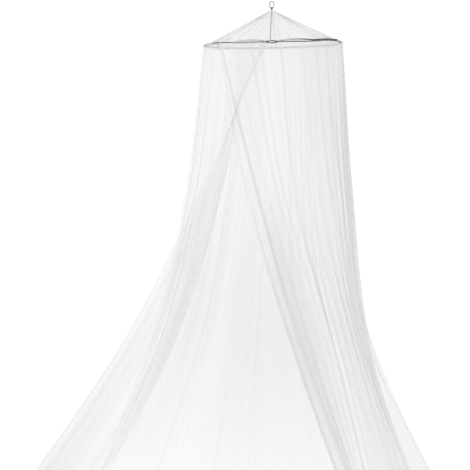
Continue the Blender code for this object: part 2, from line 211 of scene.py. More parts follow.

# %% [markdown]
# ## The net's finish
#
# Net is mostly holes. The part of each square millimetre that thread covers is its cover, a quarter
# here. To model each hole would take millions of faces, so the mesh is a Voronoi pattern that thins
# and thickens the cover. Each sheet carries a number at every point, "layers", for how much net lies
# over that spot. Light passes every layer in turn, so the light that is left is one layer's share
# raised to the power of the layers. Gathers too fine to model are streaks of noise along the cloth.
# Where the net is bunched tight round the wire, past a dozen layers, it is painted white instead of grey.
# That white is painted light: it lifts the bunched casing, whose inner side lies in shade.

# %% Net finish
NET_PITCH = 0.0020
NET_COVER = 0.25
NET_DARK = (0.62, 0.62, 0.62)
NET_LIGHT = (0.68, 0.68, 0.68)
# Painted light: net past a dozen layers, mostly the casing on the wire, gets this whiter colour so its
# shaded side looks lit.
PAINTED_LIGHT_WHITE = (0.88, 0.88, 0.88)
PAINTED_LIGHT_FROM_LAYERS = 11.0
PAINTED_LIGHT_AT_LAYERS = 13.0
STREAK_STRETCH = 0.035
STREAK_LEAST = 0.52
# Each streak: scale, detail, weight.
STREAKS = [(60.0, 3.0, 0.08), (13.0, 2.0, 0.34), (4.5, 1.0, 0.54)]
KNIT_LEAST = 0.86
KNIT_WEIGHT = 0.34
KNIT_UNEVENNESS = 0.22
KNIT_SHARPNESS = 5.0
KNIT_ROUNDING = 0.2
KNIT_BUMP = 0.25
KNIT_HEIGHT = 0.0004
TONES_PER_METRE = 5.0
NET_ROUGHNESS = 0.85
NET_SHEEN = 0.15
NET_SHEEN_ROUGHNESS = 0.5


def net_knit(tree, cloth):
    """1 on the threads of the net and 0 in its holes."""
    edge = node(tree, "ShaderNodeTexVoronoi", {"feature": "DISTANCE_TO_EDGE", "voronoi_dimensions": "2D"},
                Vector=cloth, Scale=1.0 / NET_PITCH, Randomness=KNIT_UNEVENNESS).outputs["Distance"]
    hole = maths(tree, "SMOOTH_MIN", maths(tree, "MULTIPLY", edge, KNIT_SHARPNESS), 1.0, KNIT_ROUNDING)
    return maths(tree, "SUBTRACT", 1.0, hole)


def net_streaks(tree, cloth):
    """How much more or less net there is along the cloth's length, about 1 on average."""
    stretch = node(tree, "ShaderNodeMapping", Vector=cloth, Scale=(1.0, STREAK_STRETCH, 1.0))
    uneven = STREAK_LEAST
    for scale, detail, weight in STREAKS:
        streak = noise(tree, stretch.outputs["Vector"], scale, detail)
        uneven = maths(tree, "ADD", uneven, maths(tree, "MULTIPLY", streak, weight))
    return uneven


def net_material(name):
    material, tree, shader = new_material(name, NET_LIGHT, NET_ROUGHNESS)
    cloth = node(tree, "ShaderNodeUVMap", {"uv_map": "cloth"}).outputs["UV"]
    layers = node(tree, "ShaderNodeAttribute", {"attribute_name": "layers"}).outputs["Fac"]
    thread = net_knit(tree, cloth)
    knit = maths(tree, "ADD", KNIT_LEAST, maths(tree, "MULTIPLY", thread, KNIT_WEIGHT))
    passed = maths(tree, "MULTIPLY", maths(tree, "MULTIPLY", layers, net_streaks(tree, cloth)), knit)
    clear = maths(tree, "POWER", 1.0 - NET_COVER, passed)
    tree.links.new(maths(tree, "SUBTRACT", 1.0, clear), shader.inputs["Alpha"])

    place = node(tree, "ShaderNodeTexCoord").outputs["Object"]
    thread_colour = tint(tree, noise(tree, place, TONES_PER_METRE), NET_DARK, NET_LIGHT)
    # painted light: the colour turns whiter where the layers pass a dozen, which lifts the shaded bunched
    # casing
    painted_light = node(tree, "ShaderNodeMapRange", Value=layers, From_Min=PAINTED_LIGHT_FROM_LAYERS,
                   From_Max=PAINTED_LIGHT_AT_LAYERS).outputs["Result"]
    mixed = node(tree, "ShaderNodeMix", {"data_type": "RGBA"},
                 i0=painted_light, i6=thread_colour, i7=(*PAINTED_LIGHT_WHITE, 1.0))
    tree.links.new(mixed.outputs[2], shader.inputs["Base Color"])
    bumped(tree, shader, thread, KNIT_BUMP, KNIT_HEIGHT)
    shader.inputs["Sheen Weight"].default_value = NET_SHEEN
    shader.inputs["Sheen Roughness"].default_value = NET_SHEEN_ROUGHNESS
    return material


curtain_finish = net_material("curtain_net")
crown_finish = net_material("crown_net")

# %% [markdown]
# ## Where the hoop is
#
# Every soft piece hangs from the hoop, so its place comes first. Angles round it are in degrees from
# the front towards the left, and a smooth ramp serves wherever one shape runs into another. The hoop's
# plane dips a little to the left, and its centre is 6.5 mm to the right of the ring. The front part,
# where the wire's two ends lap, is heavier and hangs lower.

# %% Hoop geometry
HOOP_Z = -0.186
HOOP_RADIUS = 0.300
HOOP_WIRE = 0.0050
HOOP_X = 0.0065
HOOP_TILT = math.tan(math.radians(1.28))
LAP_SAG = 0.0070
LAP_SAG_FULL_WITHIN = 24.0
LAP_SAG_GONE_BEYOND = 52.0


def ramp(value, start, end):
    """0 before the start, 1 past the end, and a smooth rise between them."""
    share = np.clip((value - start) / (end - start), 0.0, 1.0)
    return share * share * (3.0 - 2.0 * share)


def from_front(angle):
    """The angle from the front, more than 0 to the left and less than 0 to the right."""
    return (angle + 180.0) % 360.0 - 180.0


def lap_sag(angle):
    """How far the lapped wires hang below the hoop's plane."""
    return LAP_SAG * (1.0 - ramp(np.abs(from_front(angle)), LAP_SAG_FULL_WITHIN, LAP_SAG_GONE_BEYOND))


def hoop_spot(angle, radius=HOOP_RADIUS, lift=0.0):
    turn = np.radians(angle)
    x = HOOP_X - radius * np.sin(turn)
    y = -radius * np.cos(turn)
    return x, y, HOOP_Z + HOOP_TILT * x + lift


print("hoop's front at", [round(float(part), 4) for part in hoop_spot(0.0)])

# %% [markdown]
# ## The strands of the curtain
#
# A cloth simulation could drape the curtain, but it would choose its own folds, and these are to fall
# as they do on the real one. So sixteen strands say how the drape falls: each row tells where a strand
# leaves the hoop and where it passes shoulder, waist and hem. The left free edge is drawn far out and
# its flap doubles back on itself. "fold" is the depth of the main folds there.

# %% The strands
SHOULDER_Z = -0.80
WAIST_Z = -1.50
HEM_Z = FLOOR_Z + 0.0015
HEADING_LIFT = 0.0030
STRAND_COLUMNS = ("angle", "radius", "shoulder_x", "shoulder_y", "waist_x", "waist_y",
                  "hem_x", "hem_y", "fold")
STRANDS = np.array([
    (6.0, 0.3125, -0.297, -0.400, -0.660, -0.620, -1.370, -0.850, 0.006),    # left free edge
    (14.0, 0.3125, -0.262, -0.385, -0.560, -0.580, -1.230, -0.780, 0.012),   # middle of the flap
    (22.0, 0.3125, -0.213, -0.345, -0.435, -0.500, -1.000, -0.650, 0.004),   # flap's inner fold
    (36.0, 0.3120, -0.256, -0.270, -0.500, -0.360, -0.960, -0.440, 0.012),   # behind the flap
    (58.0, 0.3110, -0.320, -0.160, -0.530, -0.200, -0.930, -0.240, 0.018),   # left front
    (90.0, 0.3065, -0.372, 0.010, -0.520, 0.030, -0.860, 0.050, 0.020),      # left side
    (132.0, 0.3065, -0.290, 0.250, -0.450, 0.350, -0.900, 0.480, 0.022),     # left back
    (180.0, 0.3065, -0.010, 0.390, -0.040, 0.500, -0.080, 0.680, 0.026),     # back
    (228.0, 0.3065, 0.270, 0.270, 0.410, 0.360, 0.910, 0.500, 0.026),        # right back
    (270.0, 0.3065, 0.350, 0.020, 0.425, 0.030, 0.640, 0.040, 0.024),        # right side
    (306.0, 0.3065, 0.295, -0.180, 0.395, -0.250, 0.780, -0.340, 0.026),     # right front
    (336.0, 0.3065, 0.185, -0.310, 0.345, -0.380, 0.640, -0.520, 0.022),     # right of the seam
    (360.0, 0.3065, 0.079, -0.365, 0.267, -0.480, 0.500, -0.640, 0.018),     # front seam
    (386.0, 0.3065, -0.010, -0.370, 0.185, -0.520, 0.490, -0.700, 0.016),    # front overlap
    (409.0, 0.3065, -0.076, -0.345, 0.121, -0.520, 0.497, -0.735, 0.008),    # bunched stripe
    (413.7, 0.3065, -0.128, -0.350, 0.079, -0.530, 0.440, -0.755, 0.004),    # right free edge
])
print(len(STRANDS), "strands from", STRANDS[0, 0], "to", STRANDS[-1, 0], "degrees")

# %% [markdown]
# ## Smooth curves through the strands
#
# Straight lines between the rows would leave creases where they meet. A Hermite curve passes through
# every row and keeps one slope there. It runs first round the hoop, from strand to strand, and then
# down, through the hoop, shoulder, waist and hem. It works on whole arrays, because a sheet has tens
# of thousands of points.

# %% Smooth curves


def through(knots, values, at):
    """A smooth curve through the values at the knots, for many places at once."""
    knots = np.broadcast_to(np.asarray(knots, float).reshape(len(knots), -1), (len(knots), at.size))
    values = np.broadcast_to(np.asarray(values, float).reshape(len(values), -1), (len(values), at.size))
    last = len(knots) - 1
    span = np.clip((at[None] >= knots).sum(0) - 1, 0, last - 1)

    def pick(rows, index):
        return np.take_along_axis(rows, np.clip(index, 0, last)[None], 0)[0]

    def slope(index):
        before, after = np.maximum(index - 1, 0), np.minimum(index + 1, last)
        return (pick(values, after) - pick(values, before)) / (pick(knots, after) - pick(knots, before))

    start, end = pick(values, span), pick(values, span + 1)
    width = pick(knots, span + 1) - pick(knots, span)
    t = (at - pick(knots, span)) / width
    smooth = start + (end - start) * t * t * (3.0 - 2.0 * t)
    leave = slope(span) * width * t * (1.0 - t) ** 2
    arrive = slope(span + 1) * width * t * t * (t - 1.0)
    return smooth + leave + arrive


def strand_value(column, angle):
    return through(STRANDS[:, 0], STRANDS[:, STRAND_COLUMNS.index(column)], angle)


def heading_height(angle):
    """The height of the curtain's top edge, just outside the hoop's wire."""
    return hoop_spot(angle, strand_value("radius", angle), HEADING_LIFT)[2]


def strand_spot(angle, z):
    """Where the smooth drape is, seen from above, at one angle of the hoop and one height."""
    x, y, top = hoop_spot(angle, strand_value("radius", angle), HEADING_LIFT)
    levels = [np.full_like(z, -level) for level in (SHOULDER_Z, WAIST_Z, FLOOR_Z)]
    heights = np.array([-top, *levels])
    xs = np.array([x, *(strand_value(level, angle) for level in ("shoulder_x", "waist_x", "hem_x"))])
    ys = np.array([y, *(strand_value(level, angle) for level in ("shoulder_y", "waist_y", "hem_y"))])
    return through(heights, xs, -z), through(heights, ys, -z)


round_angles = np.linspace(STRANDS[0, 0], STRANDS[-1, 0], 800)
hem_x, hem_y = strand_spot(round_angles, np.full_like(round_angles, HEM_Z))
hem_length = float(np.hypot(np.diff(hem_x), np.diff(hem_y)).sum())
print("the smooth drape is", round(hem_length, 2), "m round at the hem")

# %% [markdown]
# ## Folds and pleats
#
# A gathered net has folds inside folds. The main folds are on the construction model too, and they
# open out below the heading. Three smaller sizes of pleat lie on them, fine at the hoop and broader
# lower down, one size to each row of the table. A plain sine would look like corrugated card, so the
# crests are spaced unevenly, and their depth changes on the way round.

# %% Folds and pleats
MAIN_FOLDS_PER_TURN = 34.0
MAIN_SWAYS = ((1.1, 3.0, 0.7), (0.9, 7.0, 0.0))
FOLD_GAIN_TOP = 0.9
FOLD_GAIN_HEM = 0.45
FOLD_GAIN_FROM_DROP = 0.35
FOLD_HALF_DROP = 0.21
FOLD_MEAN = 0.76
FOLD_SWING = 0.24
FOLD_SWINGS = (5.0, 1.9)
# Each size of pleat: how many to a turn, depth at the top, depth low down, sway, sways to a turn, start.
PLEATS = [
    (71.0, 0.0004, 0.0012, 3.7, 4.0, 0.4),
    (163.0, 0.0006, 0.0007, 4.6, 9.0, 1.3),
    (331.0, 0.0005, 0.0004, 5.4, 14.0, 2.1),
]
PLEATS_FULL_AT_FOLD = 0.014
PLEAT_LOW_FROM_DROP = 0.625
PLEAT_MEAN = 0.7
PLEAT_SWING = 0.3
PLEAT_SWINGS = (1.7, 3.0)
PLEAT_DRIFT = 0.5
PLEAT_DRIFTS = (0.031, 2.2)


def main_folds(angle, drop):
    """How far the main folds stand out. The drop is 0 at the hoop and 1 at the hem."""
    turn = np.radians(angle)
    phase = MAIN_FOLDS_PER_TURN * turn
    for sway, times_round, start in MAIN_SWAYS:
        phase = phase + sway * np.sin(times_round * turn + start)
    times_round, start = FOLD_SWINGS
    uneven = FOLD_MEAN + FOLD_SWING * np.sin(times_round * turn + start)
    gain = FOLD_GAIN_TOP + (FOLD_GAIN_HEM - FOLD_GAIN_TOP) * ramp(drop, FOLD_GAIN_FROM_DROP, 1.0)
    depth = gain * strand_value("fold", angle) * drop / (drop + FOLD_HALF_DROP)
    return depth * uneven * np.sin(phase)


def small_pleats(angle, drop):
    """How far the smaller pleats stand out, less where the curtain is drawn flat."""
    turn = np.radians(angle)
    low = np.minimum(1.0, drop / PLEAT_LOW_FROM_DROP)
    swing_round, swing_down = PLEAT_SWINGS
    drift_round, drift_down = PLEAT_DRIFTS
    total = np.zeros_like(angle)
    for per_turn, top_depth, low_depth, sway, sway_turns, start in PLEATS:
        drift = PLEAT_DRIFT * np.sin(per_turn * drift_round * turn + drift_down * drop + start)
        phase = per_turn * turn + sway * np.sin(sway_turns * turn + start) + drift
        swing = np.sin(sway_turns * swing_round * turn + swing_down * drop + start)
        depth = top_depth + (low_depth - top_depth) * low
        total += depth * (PLEAT_MEAN + PLEAT_SWING * swing) * np.sin(phase)
    return total * np.minimum(1.0, strand_value("fold", angle) / PLEATS_FULL_AT_FOLD)


half_way = np.full_like(round_angles, 0.5)
for title, folds in (("main folds", main_folds), ("smaller pleats", small_pleats)):
    depth = float(folds(round_angles, half_way).max())
    print("half way down the", title, "stand out up to", round(depth * 1000, 1), "mm")

# %% [markdown]
# ## How full the net is
#
# Gathers finer than these pleats are only a number, the layers of net over each spot. Modelling them
# would take a hundred times the faces. The table gives the layers round the hoop at four heights, the
# top, the shoulder, the waist and the hem. The curtain is drawn aside at the left of the front, so it
# thins out to a tenth of a layer there. It is fullest at the back and where the cloth gathers beside
# the free edges. The layers go along straight lines from row to row, so that none drops below zero.
# The values were not chosen by eye alone. A separate program fitted them to how grey the net looks at
# each place in the picture, and they were then rounded and changed by hand.

# %% How full the net is
FULLNESS_COLUMNS = ("angle", "top", "shoulder", "waist", "hem")
FULLNESS = np.array([
    (6.0, 0.15, 0.10, 0.45, 1.00),
    (7.5, 0.20, 0.15, 1.15, 2.05),
    (14.0, 0.10, 0.92, 1.62, 2.20),
    (18.0, 0.09, 0.89, 1.15, 1.80),
    (22.0, 0.08, 0.85, 0.60, 0.05),
    (30.0, 0.08, 1.10, 0.25, 0.03),
    (44.0, 0.08, 0.80, 0.40, 0.03),
    (58.0, 0.50, 0.65, 0.20, 0.08),
    (74.0, 0.58, 0.45, 0.08, 0.03),
    (90.0, 0.55, 0.25, 0.08, 0.03),
    (110.0, 0.95, 0.65, 0.12, 0.03),
    (132.0, 0.88, 0.80, 1.90, 0.08),
    (156.0, 1.12, 1.42, 1.58, 0.25),
    (180.0, 0.98, 1.12, 2.40, 0.35),
    (204.0, 1.04, 1.32, 1.78, 0.60),
    (228.0, 1.40, 1.20, 1.05, 0.80),
    (249.0, 1.55, 1.25, 0.55, 0.55),
    (262.0, 2.60, 1.40, 0.45, 0.30),
    (278.0, 2.60, 1.50, 0.45, 0.12),
    (288.0, 1.40, 1.55, 0.52, 0.10),
    (306.0, 1.45, 1.60, 1.20, 0.12),
    (321.0, 1.36, 1.25, 1.90, 0.20),
    (336.0, 1.24, 0.77, 2.10, 0.52),
    (348.0, 0.62, 0.54, 1.28, 0.87),
    (360.0, 0.62, 0.48, 0.90, 0.88),
    (373.0, 0.58, 0.15, 0.85, 0.82),
    (386.0, 0.56, 0.60, 1.80, 0.92),
    (398.0, 0.48, 0.70, 2.75, 1.12),
    (409.0, 0.15, 0.15, 2.40, 1.35),
    (412.6, 0.12, 0.25, 2.00, 1.45),
    (413.7, 0.10, 0.15, 0.90, 0.80),
])


def fullness(column, angle):
    return np.interp(angle, FULLNESS[:, 0], FULLNESS[:, FULLNESS_COLUMNS.index(column)])


for level in FULLNESS_COLUMNS[1:]:
    mean_layers = float(fullness(level, round_angles).mean())
    print(level, "of the curtain:", round(mean_layers, 2), "layers on average")

# %% [markdown]
# ## Creases
#
# A crease is a narrow line where the cloth lies on itself. Each row of the table is one, and its width
# is in metres, because a crease doesn't widen as the curtain spreads. Some run across the strands on
# the way down, such as the sharp line beside the right free edge, so a row has an angle at the top and
# another low down. A crease adds a smooth ridge of layers on top of the fullness.

# %% Creases
# Each crease: angle at the top, angle low down, width, layers at the top, layers low down.
CREASES = [
    (9.2, 9.2, 0.014, 0.1, 0.9),
    (12.5, 12.5, 0.006, 0.3, 0.4),
    (15.4, 15.4, 0.010, 0.1, 0.6),
    (18.3, 18.3, 0.016, 0.2, 0.8),
    (20.5, 20.5, 0.010, 0.2, 0.15),
    (23.5, 23.5, 0.010, 0.3, 0.1),
    (29.0, 29.0, 0.006, 0.4, 0.1),
    (46.0, 46.0, 0.005, 0.3, 0.05),
    (118.0, 118.0, 0.006, 0.3, 0.1),
    (151.0, 151.0, 0.007, 0.2, 0.4),
    (168.0, 168.0, 0.009, 0.2, 0.4),
    (196.0, 196.0, 0.006, 0.15, 0.3),
    (214.0, 214.0, 0.007, 0.15, 0.3),
    (242.0, 242.0, 0.006, 0.3, 0.4),
    (283.0, 283.0, 0.007, 0.3, 0.4),
    (297.0, 297.0, 0.006, 0.4, 0.3),
    (312.5, 296.5, 0.007, 2.0, 0.8),
    (324.5, 313.0, 0.007, 1.5, 0.4),
    (338.0, 332.0, 0.006, 0.7, 0.3),
    (349.0, 349.0, 0.005, 0.3, 0.4),
    (355.5, 361.6, 0.0045, 1.8, 4.0),
    (372.0, 372.0, 0.007, 0.9, 0.4),
    (380.0, 380.0, 0.007, 1.3, 0.3),
    (396.0, 396.0, 0.006, 0.5, 0.9),
    (404.0, 404.0, 0.006, 0.3, 1.5),
    (409.9, 409.3, 0.006, 3.2, 6.0),
]
CREASE_CHANGES_FROM_Z = -0.70
CREASE_CHANGES_TO_Z = -1.25
CREASE_SLIDES_FROM_Z = -0.30
CREASE_SLIDES_TO_Z = -1.50
LEAST_LAYERS = 0.03
SPAN_STEP = 0.25


def layers_at(angle, z, step):
    """Layers of net at one angle and height, where one degree spans a step of so many metres."""
    heights = np.array([np.full_like(z, -level) for level in (HOOP_Z, SHOULDER_Z, WAIST_Z, FLOOR_Z)])
    layers = through(heights, np.array([fullness(column, angle) for column in FULLNESS_COLUMNS[1:]]), -z)
    low = ramp(-z, -CREASE_CHANGES_FROM_Z, -CREASE_CHANGES_TO_Z)
    slide = np.clip((CREASE_SLIDES_FROM_Z - z) / (CREASE_SLIDES_FROM_Z - CREASE_SLIDES_TO_Z), 0.0, 1.0)
    for crease_top, crease_low, width, top, bottom in CREASES:
        across = (angle - crease_top - (crease_low - crease_top) * slide) * step / width
        layers = layers + (top + (bottom - top) * low) * np.exp(-across * across)
    return np.maximum(layers, LEAST_LAYERS)


def degree_span(angle, z):
    """How many metres of the smooth drape one degree of the hoop spans."""
    before = np.stack(strand_spot(angle - SPAN_STEP, z), -1)
    after = np.stack(strand_spot(angle + SPAN_STEP, z), -1)
    return np.linalg.norm(after - before, axis=-1) / (2.0 * SPAN_STEP)


waist = np.full_like(round_angles, WAIST_Z)
waist_layers = layers_at(round_angles, waist, degree_span(round_angles, waist))
print(len(CREASES), "creases bring the waist to", round(float(waist_layers.max()), 1), "layers at most")

# %% [markdown]
# ## The casing
#
# The curtain's top edge is sewn over the wire as a casing, a narrow tunnel that holds it up. The first
# table says how many layers of net are bunched on the wire: many from the left side round the back, and
# hardly any at the front and the right. Where the wire's ends lap they bow upwards, and the casing
# stretches over them. The second table says how far up it goes, and how densely.

# %% The casing
# Each place on the casing: angle, layers.
CASING = np.array([
    (6.0, 0.15), (45.0, 0.15), (50.0, 0.30), (56.0, 3.0), (60.0, 13.5), (90.0, 15.0), (180.0, 14.0),
    (250.0, 14.0), (262.0, 8.0), (268.0, 0.8), (276.0, 0.2), (360.0, 0.2), (400.0, 0.2), (413.7, 0.6),
])
BOW_COLUMNS = ("from_front", "up", "layers")
BOWS = np.array([
    (-70.0, 0.0000, 0.1), (-66.0, 0.0053, 0.1), (-33.0, 0.0053, 0.1), (-27.0, 0.0085, 0.6),
    (-21.0, 0.0103, 1.8), (-14.0, 0.0100, 3.5), (-7.0, 0.0065, 5.0), (-3.1, 0.0025, 3.5),
    (0.0, 0.0025, 0.3), (5.0, 0.0045, 0.3), (8.5, 0.0035, 1.8), (13.0, 0.0090, 4.0),
    (21.0, 0.0105, 4.5), (29.0, 0.0080, 4.5), (36.0, 0.0010, 5.0), (38.0, 0.0000, 0.3),
])
BOW_INSET = 0.0059
BOW_INSET_FULL_AT = 0.004
CASING_GAP = 0.0007
CASING_OUT = 0.5 * HOOP_WIRE + CASING_GAP
CASING_SWEEP = math.radians(205.0)
CASING_ROUND = CASING_OUT * CASING_SWEEP
CASING_DROP = 0.012
HEADING_SETTLES = 0.003
PLEATS_IN_CASING = 0.3


def bow(column, angle):
    values = BOWS[:, BOW_COLUMNS.index(column)]
    return np.interp(from_front(angle), BOWS[:, 0], values, left=0.0, right=0.0)


def casing_spot(angle, inside, inward):
    """Points of the net over the wire and down inside it, at lengths of cloth from the top edge."""
    up = bow("up", angle)
    inset = 0.5 * BOW_INSET * np.minimum(1.0, up / BOW_INSET_FULL_AT)
    around = np.clip(inside / CASING_ROUND, 0.0, 1.0) * CASING_SWEEP
    reach = CASING_OUT + PLEATS_IN_CASING * small_pleats(angle, np.zeros_like(angle)) - inward
    x, y, z = hoop_spot(angle, HOOP_RADIUS - inset + (reach + inset) * np.cos(around))
    tall = np.where(around < math.pi, reach + up, reach)
    lift = HEADING_LIFT * (1.0 - np.clip(inside / HEADING_SETTLES, 0.0, 1.0))
    return x, y, z + tall * np.sin(around) + lift - np.maximum(inside - CASING_ROUND, 0.0)


print("the casing takes", round((CASING_ROUND + CASING_DROP) * 1000, 1), "mm of cloth")

# %% [markdown]
# ## Hanging a point of the cloth
#
# Each point of the cloth is known by its angle round the hoop and its fall, the length of cloth above
# it. Below the hoop the point starts on the smooth drape and is pushed outwards by the folds and
# pleats there. Outwards is square to the drape as seen from above, so the folds stand up properly
# where the drape turns a corner. The cloth close to the hoop lies against the wire and leaves it
# within 30 mm.

# %% Hanging a point
LEAVE_DROP = 0.030
PLEATS_ON_WIRE = 0.35
SAG_GONE_BELOW = 0.25
SIDE_STEP = 0.5


def outside_spot(angle, outside, inward):
    """Points of the net below the hoop's top, at lengths of cloth from the top edge."""
    top = heading_height(angle)
    z = top - outside
    x, y = strand_spot(angle, z)
    before_x, before_y = strand_spot(angle - SIDE_STEP, z)
    after_x, after_y = strand_spot(angle + SIDE_STEP, z)
    along_x, along_y = after_x - before_x, after_y - before_y
    length = np.hypot(along_x, along_y)
    free = ramp(outside, 0.0, LEAVE_DROP)
    drop = outside / (top - HEM_Z)
    to_wire = (strand_value("radius", angle) - HOOP_RADIUS - CASING_OUT) * (1.0 - free)
    pleats = small_pleats(angle, drop) * (PLEATS_ON_WIRE + (1.0 - PLEATS_ON_WIRE) * free)
    push = main_folds(angle, drop) + pleats - inward - to_wire
    return x + push * along_y / length, y - push * along_x / length, z


def hang(angle, fall, inward):
    """Points of the net. The fall is less than 0 in the casing."""
    outside = np.maximum(fall, 0.0)
    hanging = outside_spot(angle, outside, inward)
    cased = casing_spot(angle, np.maximum(-fall, 0.0), inward)
    x, y, z = (np.where(fall < 0.0, over, below) for over, below in zip(cased, hanging))
    return np.stack([x, y, z - lap_sag(angle) * np.clip(1.0 - outside / SAG_GONE_BELOW, 0.0, 1.0)], -1)


foot_line = hang(round_angles, heading_height(round_angles) - HEM_Z, np.zeros_like(round_angles))
print("the foot reaches from", foot_line.min(0).round(3), "to", foot_line.max(0).round(3))

# %% [markdown]
# ## From a flat grid to a hanging sheet
#
# A sheet starts as a grid primitive, like cloth flat on the cutting table. Every point is then moved to
# where it hangs. Moving them one by one in edit mode would never end, so a function gives all the
# places at once, with the layers there and the place on the uncut cloth. The layers go into a point
# attribute and the place into the UV map "cloth", which the net's finish reads. The crown and the
# tapes are made the same way.

# %% Hanging a sheet


def grid_sheet(name, columns, rows, placed):
    """A grid primitive whose points are moved by placed(column, row)."""
    deselect()
    bpy.ops.mesh.primitive_grid_add(x_subdivisions=columns, y_subdivisions=rows, size=1.0)
    sheet = bpy.context.object
    sheet.name = sheet.data.name = name
    mesh = sheet.data
    flat = np.empty(len(mesh.vertices) * 3, np.float32)
    mesh.vertices.foreach_get("co", flat)
    flat = flat.reshape(-1, 3).astype(float)
    column = np.rint((flat[:, 0] + 0.5) * columns)
    row = np.rint((0.5 - flat[:, 1]) * rows)
    points, layers, cloth = placed(column, row)
    mesh.vertices.foreach_set("co", points.astype(np.float32).ravel())
    mesh.attributes.new("layers", "FLOAT", "POINT").data.foreach_set("value", layers.astype(np.float32))
    corner = np.empty(len(mesh.loops), np.int32)
    mesh.loops.foreach_get("vertex_index", corner)
    mesh.uv_layers[0].name = "cloth"
    mesh.uv_layers[0].data.foreach_set("uv", cloth[corner].astype(np.float32).ravel())
    mesh.update()
    bpy.ops.object.shade_smooth()
    print(name, "is a grid of", columns, "by", rows)
    return sheet


print("a sheet carries its place on the hanging cloth, its layers and its place on the uncut cloth")

# %% [markdown]
# ## Layers at pleats, hems, laps and the casing
#
# Four things change the layers of a finished sheet. A pleat that is modelled in the grid already shows
# more cloth where it slopes, so the number is lowered there. A turned hem adds to it at a free edge.
# Where two widths lap, each of them carries half, or the seam would look twice as dark as it is. Near
# the wire the casing's own number takes over.

# %% Layers at pleats, hems, laps and the casing
PLEAT_EVENNESS = -0.8
PLEAT_SPREAD = 45
PLEAT_SHARE_RANGE = (0.5, 2.2)
LEFT_HEM_LAYERS = (3.0, 0.25)
RIGHT_HEM_LAYERS = (0.6, 0.40)
HEM_CHANGES = (0.35, 0.60)
LAST_COLUMN = 0.85
SEAM_LAP = 0.008
LAP_BLUR = 0.002
CASING_DROP_LAYERS = 0.3
OVER_WIRE = (0.0024, 0.0042)
CASING_FADES = (0.004, 0.010)
OFF_WIRE = (CASING_ROUND + 0.002, CASING_ROUND + 0.004)


def pleat_share(points, columns):
    """How much cloth each spot of a pleat holds, against the mean of the pleats around it."""
    rows = points.reshape(-1, columns + 1, 3)
    steps = np.linalg.norm(np.diff(rows, axis=1), axis=2)
    steps = np.concatenate([steps[:, :1], 0.5 * (steps[:, 1:] + steps[:, :-1]), steps[:, -1:]], axis=1)
    padded = np.pad(steps, ((0, 0), (PLEAT_SPREAD, PLEAT_SPREAD)), mode="edge")
    total = np.cumsum(np.pad(padded, ((0, 0), (1, 0))), axis=1)
    window = 2 * PLEAT_SPREAD + 1
    mean = (total[:, window:] - total[:, :-window]) / window
    return np.clip(steps / np.maximum(mean, 1e-6), *PLEAT_SHARE_RANGE).ravel()


def hem_layers(turned_back, z, top_and_low):
    """Layers that a free edge's hem adds, once more on its very last column."""
    top, low = top_and_low
    added = top + (low - top) * ramp(-z, *HEM_CHANGES)
    return added * (turned_back > 0.0) + added * (turned_back > LAST_COLUMN)


def lap_share(from_start, past_end):
    """Half where a width lies over its neighbour, and 1 elsewhere."""
    at_start = 1.0 - ramp(from_start, SEAM_LAP - LAP_BLUR, SEAM_LAP + LAP_BLUR)
    at_end = ramp(past_end, -LAP_BLUR, LAP_BLUR)
    return 1.0 - 0.5 * np.clip(at_start + at_end, 0.0, 1.0)


def with_casing(layers, angle, fall, points):
    """The layers, with those of the casing on the wire and just below it."""
    cased = np.interp(angle, CASING[:, 0], CASING[:, 1])
    on_wire = 1.0 - ramp(-fall, *OFF_WIRE)
    cased = CASING_DROP_LAYERS + (cased - CASING_DROP_LAYERS) * on_wire
    wire_height = HOOP_Z + HOOP_TILT * points[:, 0] - lap_sag(angle)
    cased = cased + ramp(points[:, 2] - wire_height, *OVER_WIRE) * bow("layers", angle)
    fading = 1.0 - ramp(fall, *CASING_FADES)
    return np.where(fall < 0.0, cased, layers + (cased - layers) * fading)


print("a lap of", SEAM_LAP * 1000, "mm carries", float(lap_share(0.0, -1.0)), "of the layers of each width")

# %% [markdown]
# ## One width of net
#
# The curtain is sewn from widths that are cut alike. A row of the grid runs round the canopy and a
# column runs down it. The first ten rows are the casing and the last three are the hem turned up at the
# foot. At a free edge five more columns turn back as a hem. Elsewhere a width runs on for 8 mm over the
# next one, which is the seam. One function makes any width, so a change reaches all of them.

# %% One width of net
COLUMN_ANGLE = 0.155
CASING_ROWS = 10
CURTAIN_ROWS = 104
FOOT_ROWS = 3
FOOT_HEM = 0.015
EDGE_COLUMNS = 5
EDGE_HEM = 0.012
LAYER_GAP = 0.0009
CUT_WIDTH = 1.80
CLOTH_LENGTH = 2.42
ROW_CROWDING = 1.15
CASING_ROW_CROWDING = 1.3
LAP_FROM = 0.96
SEAM_LINE = 0.003


